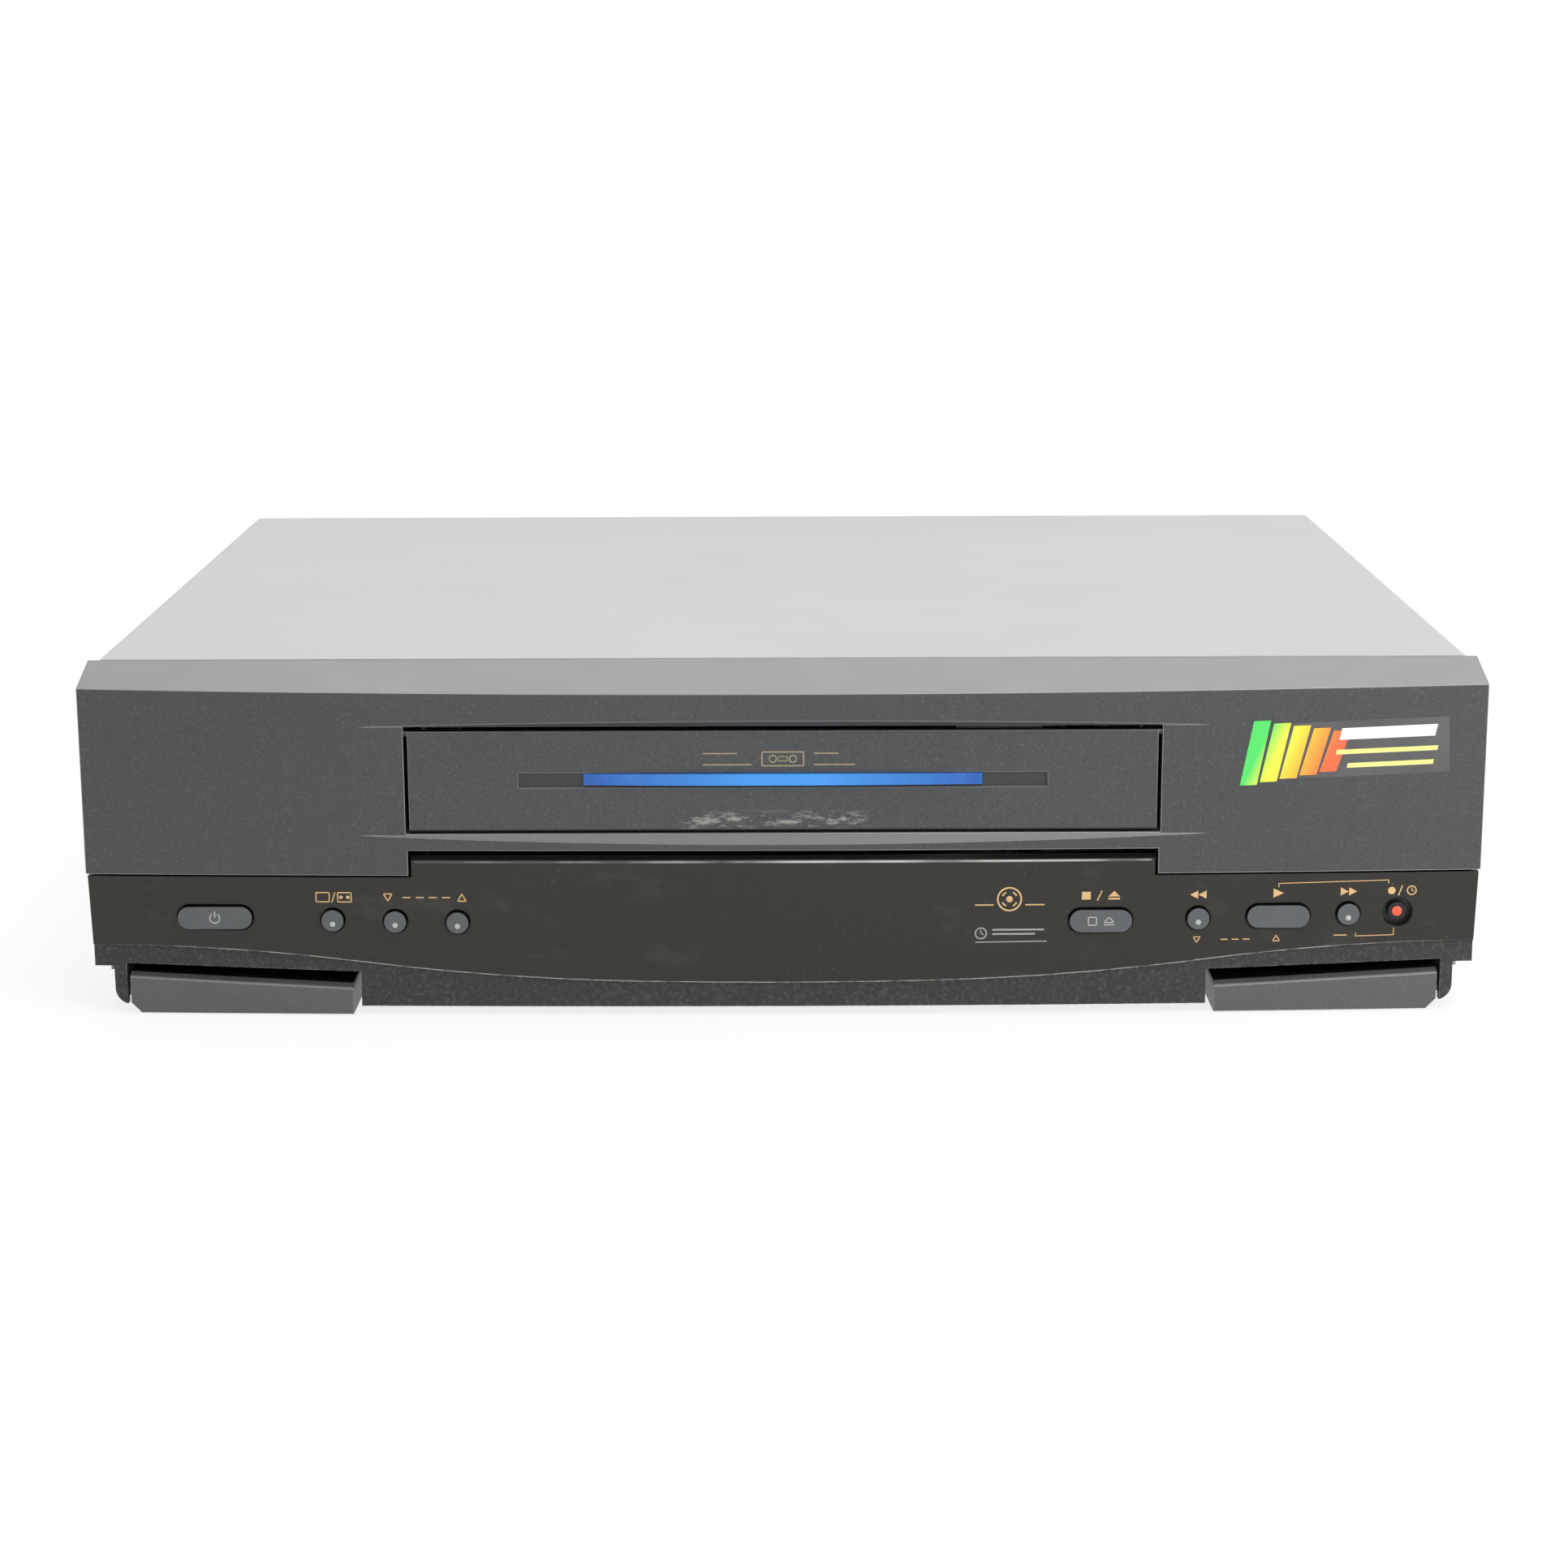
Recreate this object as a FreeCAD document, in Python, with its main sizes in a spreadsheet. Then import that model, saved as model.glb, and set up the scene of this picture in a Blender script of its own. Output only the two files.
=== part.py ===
"""A front-loading video cassette recorder, in millimetres.

X is to the right of the front, Y is to the back and Z is up. The origin is on the floor under the
middle of the box that holds the machine. Each piece is one object that is bound to the sheet of sizes.
"""
import FreeCAD, Part
import math
import os
import Sketcher

os.makedirs("parts", exist_ok=True)
doc = FreeCAD.newDocument("cassette_recorder")

# Driving sizes: name, value, what it measures
DRIVING_SIZES = [
    ("panel_half_width", 190.0, "front panel, middle to side"),
    ("front_reach", 150.0, "origin to the front of the bow"),
    ("bow_drop", 4.4, "how far the bow falls back at the panel's ends"),
    ("case_top", 96.0, "floor to the top of the cover"),
    ("front_depth", 20.7, "front mouldings, front to back at the middle"),
    ("cover_inset", 2.0, "cover's side, in from the front panel's"),
    ("cover_reach", 141.7, "origin to the cover's back edge"),
    ("cover_sheet", 0.8, "cover's sheet"),
    ("cover_bottom", 8.0, "floor to the cover's lower edge"),
    ("cover_bend", 2.0, "outer radius of the cover's bends"),
    ("moulding_wall", 2.5, "wall of the front mouldings"),
    ("small_gap", 0.1, "clearance between pieces that only meet"),
    ("running_gap", 0.06, "radial clearance of a pin in its hole"),

    ("fascia_below", 11.5, "silver panel, below the opening"),
    ("notch_inset", 0.4, "notch's sides, in from the opening's"),
    ("notch_height", 7.0, "silver panel's middle notch"),
    ("brow_drop", 0.1, "cover's top to the brow at the seam"),
    ("brow_fall", 4.7, "brow at the seam to its ridge at the ends"),
    ("tongue_depth", 5.3, "lip that goes in under the cover"),
    ("recess_depth", 1.61, "flat recess round the door, behind the bow"),
    ("ledge_drop", 2.49, "slope of the ledge under the door"),
    ("overhang_rise", 1.65, "slope of the overhang above the door"),
    ("opening_margin", 8.2, "cassette's side to the opening's side"),
    ("opening_bottom", 51.3, "cassette opening"),
    ("opening_headroom", 4.65, "opening's height over the cassette's"),
    ("collar_wall", 2.5, "collar behind the cassette opening"),
    ("collar_depth", 8.4, "collar behind the cassette opening"),

    ("door_side_gap", 1.1, "door to the opening's sides"),
    ("door_bottom_gap", 0.8, "door to the opening's sill"),
    ("door_top_gap", 1.15, "door to the opening's head"),
    ("door_thickness", 2.2, "cassette door"),
    ("door_axis_depth", 1.6, "door's face to its pivots"),
    ("door_axis_drop", 0.8, "door's top edge to its pivots"),
    ("door_pin_radius", 1.0, "door's pivots"),
    ("door_slot_inset", 30.8, "opening's side to the end of the door's slot"),
    ("door_slot_height_up", 12.75, "opening's sill to the door's slot"),
    ("door_slot_height", 4.05, "shallow slot in the door"),
    ("door_slot_depth", 0.8, "shallow slot in the door"),
    ("bar_inset", 17.6, "end of the door's slot to the accent bar"),
    ("bar_bulge", 1.3, "accent bar's middle, proud of the door"),

    ("control_inset", 0.4, "dark panel's ends, in from the silver one's"),
    ("control_foot_inset", 1.0, "dark panel's lower ends, in from the silver panel's"),
    ("panel_seam", 0.6, "between the silver panel and the dark one"),
    ("rise_side_gap", 0.8, "dark panel's raised middle in the notch"),
    ("middle_rise", 6.2, "dark panel's raised middle, over its sides"),
    ("control_bevel", 2.0, "bevel along the raised middle"),
    ("control_setback", 0.3, "dark panel behind the silver one"),
    ("smile_middle", 9.5, "dark panel's curved lower edge at the middle"),
    ("smile_inner_x", 40.0, "end of the flat arc"),
    ("smile_inner_height", 9.9, "end of the flat arc"),
    ("smile_turn_inset", 75.0, "silver panel's end to where the curve turns over"),
    ("smile_turn_height", 15.3, "where the curve turns over"),
    ("smile_end_height", 19.8, "curve's ends"),
    ("smile_flat_radius", 2000.0, "flat arc"),
    ("smile_rise_radius", 715.0, "rising arcs"),
    ("smile_end_radius", 590.0, "end arcs"),

    ("skirt_overlap", 8.0, "skirt and base walls above the dark panel's ends"),
    ("skirt_setback", 1.0, "skirt behind the silver panel"),
    ("skirt_gap", 0.25, "dark panel to skirt"),
    ("skirt_bottom", 2.6, "floor to the skirt's lower edge"),
    ("skirt_inset", 1.0, "skirt's ends, in from the silver panel's"),
    ("skirt_step_height", 13.6, "floor to the skirt's step"),
    ("skirt_step", 5.3, "step in the skirt's ends"),
    ("skirt_corner", 4.5, "radius of the skirt's lower corners"),
    ("rebate_width", 64.6, "foot rebate"),
    ("rebate_cheek", 3.4, "skirt's end to the foot rebate"),
    ("rebate_top_outer", 14.4, "foot rebate's top at its outer side"),
    ("rebate_top_inner", 12.4, "foot rebate's top at its inner side"),
    ("foot_inner_gap", 2.2, "front foot to the rebate's inner side"),
    ("foot_outer_gap", 1.0, "front foot to the rebate's outer side"),
    ("foot_top_outer", 12.0, "front foot's top at its outer side"),
    ("foot_top_inner", 9.0, "front foot's top at its inner side"),
    ("foot_ground", 0.5, "floor to the front foot"),
    ("foot_depth", 31.0, "front foot, front to back"),
    ("foot_bevel", 1.5, "front foot's upper front edge"),
    ("foot_corner", 2.8, "front foot's outer lower corner"),
    ("foot_deck", 2.0, "web above the front foot"),
    ("pad_half", 7.0, "half the width of the front pads"),
    ("pad_inset", 1.0, "how deep the rubber pads sit"),

    ("plate_level", 5.2, "floor to the bottom plate"),
    ("plate_sheet", 0.8, "bottom plate"),
    ("plate_side_gap", 1.2, "bottom plate's sides, in from the skirt's ends"),
    ("plate_setback", 40.0, "front of the bow to the bottom plate"),
    ("plate_back_gap", 2.9, "back of the base to the bottom plate"),
    ("base_wall", 2.0, "walls and floor of the base"),
    ("base_wall_top", 26.0, "floor to the top of the base's side walls"),
    ("rear_sheet", 2.0, "rear panel"),
    ("base_gap", 0.3, "cover's side to the base"),
    ("rear_foot_inset", 22.5, "bottom plate's side to the middle of a rear foot"),
    ("rear_foot_setback", 50.9, "back of the base to the rear feet"),
    ("rear_foot_half", 9.0, "half the width of the rear feet"),

    ("board_boss_height", 2.6, "base's floor to the main board"),
    ("board_boss_half", 3.0, "half the width of the bosses under the main board"),
    ("board_thickness", 1.6, "circuit boards"),
    ("board_side_gap", 2.5, "main board's sides, in from the bottom plate's"),
    ("board_setback", 43.0, "front of the bow to the main board"),
    ("board_back_gap", 2.9, "back of the base to the main board"),

    ("deck_level", 19.0, "floor to the underside of the deck"),
    ("deck_sheet", 1.5, "deck plate"),
    ("deck_margin", 14.0, "cassette's side to the deck's side"),
    ("deck_front", 118.0, "origin to the deck's front edge"),
    ("deck_back", 95.0, "origin to the deck's back edge"),
    ("deck_post_inset", 4.0, "deck's side to the middle of its posts"),
    ("deck_post_front", 112.0, "origin to the front posts"),
    ("deck_post_back", 88.0, "origin to the back posts"),
    ("deck_post_half", 3.5, "half the width of the posts under the deck"),

    ("board_boss_y", 14.0, "origin to the middle row of bosses under the main board"),
    ("rear_boss_inset", 6.9, "back of the base to the last bosses"),
    ("rebate_play", 1.0, "front foot to the back of its rebate"),
    ("foot_setback", 0.2, "front foot behind the silver panel"),
    ("foot_hollow", 24.0, "hollow in the front foot, front to back"),
    ("foot_wall", 2.0, "front foot's wall"),
    ("foot_lug_half", 8.5, "half the width of the block round the front pad"),
    ("foot_lug_drop", 1.0, "that block's top, below the foot's top"),
    ("foot_stem_half", 3.0, "half the width of the stem that holds the front foot"),
    ("sill_lip", 0.35, "sill of the cassette opening over the ledge"),
    ("door_edge", 0.5, "rounding of the door's upper edges"),
    ("bar_gap", 0.15, "accent bar under the slot's upper edge"),
    ("bar_lower_gap", 0.75, "accent bar over the slot's lower edge"),
    ("bar_end_proud", 0.1, "accent bar's ends, proud of the door"),

    ("tab_inset", 68.0, "cover's side to the middle of a rear tab"),
    ("tab_half_width", 6.0, "cover's rear tabs"),
    ("tab_drop", 12.0, "cover's rear tabs, below its top"),
    ("vent_width", 2.4, "width of a vent slot"),
    ("vent_pitch", 5.0, "from one vent slot to the next"),
    ("vent_length", 14.0, "upright vent slots"),
    ("vent_start", 40.0, "origin to the first side vent"),
    ("vent_low", 40.0, "floor to the side vents"),
    ("vent_count", 10, "side vents"),
    ("rear_vent_x", 60.0, "first rear vent"),
    ("rear_vent_low", 50.0, "floor to the rear vents"),
    ("rear_vent_count", 8, "rear vents"),
    ("floor_vent_inset", 42.5, "bottom plate's side to the middle of a floor vent"),
    ("floor_vent_y", 20.0, "floor vents"),
    ("floor_vent_half", 14.0, "half the length of a floor vent"),
    ("floor_vent_count", 6, "floor vents on each side"),

    ("gland_inset", 38.0, "cover's side to the cord gland"),
    ("gland_height", 24.0, "cord gland"),
    ("cord_plate_inset", 25.0, "cord gland to the cord plate's inner side"),
    ("cord_plate_rise", 24.0, "cord gland to the cord plate's top"),
    ("gland_half", 5.0, "half the width of the cord gland's neck"),
    ("gland_lip", 1.5, "cord gland's lips"),
    ("gland_inside", 5.0, "cord gland inside the rear panel"),
    ("gland_outside", 5.0, "cord gland outside the rear panel"),
    ("cord_bore", 3.4, "cord gland's bore"),
    ("antenna_length", 11.1, "antenna sockets"),
    ("socket_gap", 0.5, "sockets in the rear panel's windows"),
    ("antenna_neck_half", 3.0, "half the width of the antenna sockets' necks"),
    ("av_neck_half", 2.6, "half the width of the phono sockets' necks"),
    ("neck_length", 0.6, "sockets' necks, past the rear panel"),
    ("socket_depth", 8.0, "depth of the sockets"),
    ("antenna_inset", 23.0, "cover's side to the first antenna socket"),
    ("antenna_pitch", 25.0, "from one antenna socket to the next"),
    ("antenna_height", 28.0, "floor to the antenna sockets"),
    ("antenna_radius", 4.7, "antenna socket's thread"),
    ("antenna_bore", 3.4, "antenna socket's barrel"),
    ("tuner_side", 14.0, "antenna socket to the side of the can"),
    ("tuner_depth", 43.0, "tuner can"),
    ("tuner_height", 32.0, "tuner can"),
    ("av_spacing", 36.0, "second antenna socket to the first phono sockets"),
    ("av_height", 24.0, "lower row of phono sockets"),
    ("av_pitch", 16.0, "from one phono socket to the next"),
    ("av_radius", 4.15, "phono socket"),
    ("av_length", 8.6, "phono sockets"),
    ("av_side", 8.0, "phono socket to the side of its block"),
    ("av_depth", 18.0, "phono block"),
    ("post_gap", 0.5, "deck posts in the main board's holes"),
    ("capacitor_inset", 60.0, "cover's side to the first capacitor"),
    ("capacitor_setback", 23.9, "back of the base to the capacitors"),
    ("capacitor_pitch", 16.0, "capacitors"),
    ("capacitor_half", 6.0, "half the width of a capacitor"),
    ("capacitor_height", 25.0, "capacitors"),
    ("chip_inset", 43.0, "cover's side to the chips"),
    ("chip_y", -40.0, "first chip"),
    ("chip_pitch", 40.0, "from one chip to the next"),
    ("chip_half", 9.0, "half a chip's side"),
    ("chip_height", 3.0, "chips"),
    ("transformer_inset", 38.0, "cover's side to the transformer"),
    ("transformer_y", 40.0, "transformer"),
    ("core_width", 36.0, "transformer's core"),
    ("core_height", 32.0, "transformer's core"),
    ("core_depth", 14.0, "transformer's core"),
    ("winding_depth", 30.0, "transformer's winding"),
    ("sink_spacing", 10.0, "deck's side to the heat sink"),
    ("sink_y", -40.0, "heat sink"),
    ("sink_height", 36.0, "heat sink"),
    ("sink_length", 60.0, "heat sink"),
    ("sink_plate", 3.0, "heat sink's plate"),
    ("fin_reach", 12.0, "heat sink's fins"),
    ("fin_sheet", 1.5, "heat sink's fins"),
    ("fin_count", 8, "heat sink's fins"),

    ("key_board_depth", 15.0, "front of the bow to the back of the key board"),
    ("key_board_inset", 8.6, "key board's ends, in from the dark panel's"),
    ("key_board_bottom", 21.5, "floor to the key board"),
    ("key_board_top", 38.5, "floor to the key board's top"),
    ("key_post_spacing", 18.4, "stop key to the posts between the keys and the display"),
    ("key_post_inset", 3.0, "key board's end to its outer posts"),
    ("key_post_height", 30.5, "posts that hold the key board"),
    ("key_post_half", 2.0, "half the width of the posts that hold the key board"),
    ("key_row_height", 26.17, "row of keys at the middle"),
    ("key_row_climb", 1.9, "row of keys, from the middle to the record key"),
    ("key_gap", 0.5, "key in its hole"),
    ("key_proud", 1.2, "keys, proud of the dark panel"),
    ("key_flange", 0.8, "keys' flanges past their holes"),
    ("key_flange_depth", 1.0, "keys' flanges"),
    ("key_stem_half", 1.3, "half the width of the keys' stems"),
    ("key_travel", 0.8, "how far a key goes in"),
    ("key_pill_radius", 3.15, "long keys' ends"),
    ("key_round_radius", 3.0, "round keys"),
    ("record_radius", 2.5, "record key"),
    ("record_well", 1.7, "well round the record key"),
    ("record_sunk", 0.8, "record key, behind the dark panel's face"),
    ("power_inset", 35.0, "silver panel's end to the power key"),
    ("power_half_length", 7.0, "power key, middle to the centre of its end"),
    ("source_pitch", 32.2, "power key to source key"),
    ("channel_pitch", 17.1, "source key to the first channel key"),
    ("channel_key_pitch", 17.0, "one channel key to the other"),
    ("stop_pitch", 26.6, "rewind key to stop key"),
    ("stop_half_length", 5.35, "stop and play keys, middle to the centre of their ends"),
    ("rewind_pitch", 21.9, "play key to rewind key"),
    ("play_pitch", 19.2, "fast forward key to play key"),
    ("forward_pitch", 13.6, "record key to fast forward key"),
    ("record_inset", 22.3, "silver panel's end to the record key"),
    ("switch_half", 3.0, "half the width of the key switches"),
    ("switch_depth", 4.4, "key switches with their plungers"),
    ("tube_side_gap", 10.0, "display tube to the posts beside it"),
    ("tube_bottom", 22.5, "display tube"),
    ("tube_height", 15.0, "display tube"),
    ("tube_depth", 6.0, "display tube"),
    ("tube_bevel", 0.8, "display tube"),

    ("stud_radius", 2.0, "studs and shafts on the deck"),
    ("reel_x", 46.0, "reels"),
    ("reel_reach", 69.0, "origin to the reels"),
    ("reel_stud", 12.0, "reels' studs"),
    ("reel_lift", 1.1, "deck to the reel tables"),
    ("reel_radius", 21.0, "reel tables"),
    ("reel_flange", 3.3, "reel tables"),
    ("spline_drop", 4.2, "reel spindles' tops above their splines"),
    ("spline_root", 1.0, "splines sunk in the spindles"),
    ("spindle_radius", 4.2, "reel spindles"),
    ("spindle_height", 16.0, "reel spindles"),
    ("spline_reach", 5.6, "reel spindles' splines"),
    ("spline_half", 0.7, "half the width of the spindles' splines"),
    ("spline_count", 3, "reel spindles' splines"),
    ("arm_stud", 2.6, "studs of the arms"),
    ("arm_lift", 0.4, "deck to the arms"),
    ("arm_sheet", 1.0, "arms"),
    ("arm_gap", 0.2, "arm to the wheel on it"),
    ("arm_half_width", 4.0, "half the width of the pinch arm"),
    ("tooth_sink", 0.1, "gear teeth sunk in their wheels"),
    ("roller_pin", 1.5, "pins of the pinch roller and the motor"),
    ("capstan_x", 58.0, "capstan"),
    ("capstan_reach", 2.0, "origin to the capstan"),
    ("capstan_radius", 1.7, "capstan"),
    ("capstan_height", 27.0, "capstan above the deck's underside"),
    ("flywheel_gap", 0.4, "deck to flywheel"),
    ("flywheel_height", 2.6, "flywheel"),
    ("flywheel_radius", 21.0, "flywheel"),
    ("pinch_pivot_x", 84.0, "pinch arm's pivot"),
    ("pinch_pivot_y", 14.0, "pinch arm's pivot"),
    ("pinch_x", 75.0, "pinch roller at rest"),
    ("pinch_reach", 10.6, "origin to the pinch roller at rest"),
    ("pinch_radius", 6.5, "pinch roller"),
    ("pinch_height", 18.0, "pinch roller"),
    ("erase_x", 62.0, "erase head"),
    ("erase_y", 14.0, "erase head"),
    ("erase_lift", 8.0, "deck to the erase head"),
    ("erase_half", 5.0, "half the width of the erase head"),
    ("audio_x", 50.0, "audio head"),
    ("audio_y", 22.0, "audio head"),
    ("audio_lift", 6.0, "deck to the audio head"),
    ("audio_half", 6.5, "half the width of the audio head"),
    ("head_foot", 1.5, "heads' feet"),
    ("head_post_half", 2.0, "half the width of the heads' posts"),
    ("head_height", 17.0, "heads"),
    ("drum_x", 8.0, "drum"),
    ("drum_y", 38.0, "drum"),
    ("drum_height", 31.0, "floor to the joint between the drums"),
    ("drum_tilt", 5.5, "drum's tilt"),
    ("drum_radius", 31.0, "drum"),
    ("drum_lower", 7.0, "lower drum"),
    ("drum_upper", 20.0, "upper drum"),
    ("drum_gap", 0.4, "between the drums"),
    ("drum_shaft", 3.0, "drum's spindle"),
    ("drum_cap", 3.0, "upper drum's top above the spindle"),
    ("drum_seat", 16.0, "drum's foot"),
    ("head_window", 1.2, "half the width of a head window"),
    ("head_window_height", 3.0, "head windows"),
    ("head_window_depth", 1.5, "head windows"),
    ("head_window_count", 4, "head windows"),
    ("guide_start_reach", 16.0, "origin to the tape guides at rest"),
    ("supply_start_x", 36.0, "supply guide at rest"),
    ("supply_end_x", 52.0, "supply guide at the drum"),
    ("supply_end_y", 50.0, "supply guide at the drum"),
    ("takeup_start_x", 28.0, "take-up guide at rest"),
    ("takeup_end_x", 35.3, "take-up guide at the drum"),
    ("takeup_end_y", 56.0, "take-up guide at the drum"),
    ("guide_tongue_half", 1.5, "half the width of the guides' tongues"),
    ("guide_lift", 0.3, "deck to the guides' bases"),
    ("guide_base", 3.0, "guides' bases"),
    ("guide_half_length", 7.0, "guides' bases"),
    ("guide_half_width", 5.0, "guides' bases"),
    ("tongue_half_length", 4.0, "half the length of the guides' tongues"),
    ("guide_height", 23.5, "guides' tops above the deck"),
    ("roller_radius", 3.0, "guide rollers"),
    ("cam_x", 72.0, "cam gear"),
    ("cam_y", 60.0, "cam gear"),
    ("cam_rise", 13.5, "deck to the cam gear's toothed rim"),
    ("cam_hub", 6.0, "cam gear's hub"),
    ("cam_teeth", 32, "cam gear"),
    ("pinion_teeth", 12, "loading motor's pinion"),
    ("gear_face", 5.0, "width of the gears"),
    ("gear_module", 1.25, "module of every gear and rack"),
    ("pressure_angle", 20.0, "pressure angle of every gear and rack"),
    ("tip_share", 0.8, "gear teeth outside the pitch circle, in modules"),
    ("root_share", 1.1, "gear gaps inside the pitch circle, in modules"),
    ("tooth_slack", 0.2, "how much thinner each tooth is, for backlash"),
    ("motor_bearing", 60.0, "direction from the cam gear to the loading motor"),
    ("motor_radius", 11.0, "loading motor"),
    ("motor_height", 12.0, "loading motor"),

    ("cassette_width", 188.0, "cassette that the machine takes"),
    ("cassette_height", 25.0, "cassette that the machine takes"),
    ("cassette_play", 1.3, "cassette in its holder"),
    ("insert_rise", 0.2, "opening's sill to the cassette's underside"),
    ("draw_travel", 58.0, "how far the carriage draws the cassette in"),
    ("lift_travel", 26.0, "how far the holder goes down"),
    ("holder_sheet", 1.2, "cassette holder"),
    ("holder_gap", 2.9, "holder to the carriage sides"),
    ("holder_front", 61.0, "origin to the holder's front edge, drawn in"),
    ("holder_back", 22.0, "origin to the holder's back edge, drawn in"),
    ("holder_border", 8.0, "round the holder's windows"),
    ("holder_window_inner", 20.0, "holder's windows"),
    ("holder_window_inset", 14.0, "cassette's side to the holder's windows"),
    ("lip_width", 22.0, "lips under the cassette"),
    ("shoe_half", 1.5, "half the width of the holder's shoes"),
    ("shoe_end", 0.6, "holder's shoes past the racks"),
    ("front_shoe_reach", 55.0, "origin to the front shoes, drawn in"),
    ("back_shoe_reach", 28.0, "origin to the back shoes, drawn in"),
    ("front_shoe_height", 60.0, "floor to the front shoes, drawn in"),
    ("back_shoe_height", 68.0, "floor to the back shoes, drawn in"),
    ("side_sheet", 1.2, "carriage sides and bridge"),
    ("side_front", 118.0, "origin to the carriage sides' front edge"),
    ("side_back", 2.0, "origin to the carriage sides' back edge"),
    ("side_top", 87.0, "floor to the carriage sides' top"),
    ("side_back_top", 84.0, "floor to the carriage sides' top at the back"),
    ("side_shoulder", 55.0, "origin to where the sides' top begins to fall"),
    ("side_nose", 10.0, "bevel at the sides' upper front corner"),
    ("side_foot", 6.3, "feet of the carriage sides"),
    ("side_foot_front", 100.0, "origin to the front of those feet"),
    ("bridge_front", 30.0, "origin to the bridge's front edge"),
    ("bridge_depth", 4.0, "bridge's flanges"),
    ("rack_gap", 1.0, "carriage side to rack"),
    ("rack_sheet", 2.5, "racks"),
    ("rack_bottom", 29.9, "floor to the racks"),
    ("rack_pitch_height", 76.0, "floor to the racks' pitch line"),
    ("rack_tip_share", 0.7, "rack teeth above the pitch line, in modules"),
    ("rack_overrun", 5.5, "rack past the pinion at each end of its travel"),
    ("shaft_reach", 70.0, "origin to the synchronising shaft"),
    ("sync_radius", 2.0, "synchronising shaft"),
    ("sync_teeth", 12, "synchronising shaft's pinions"),
]

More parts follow.
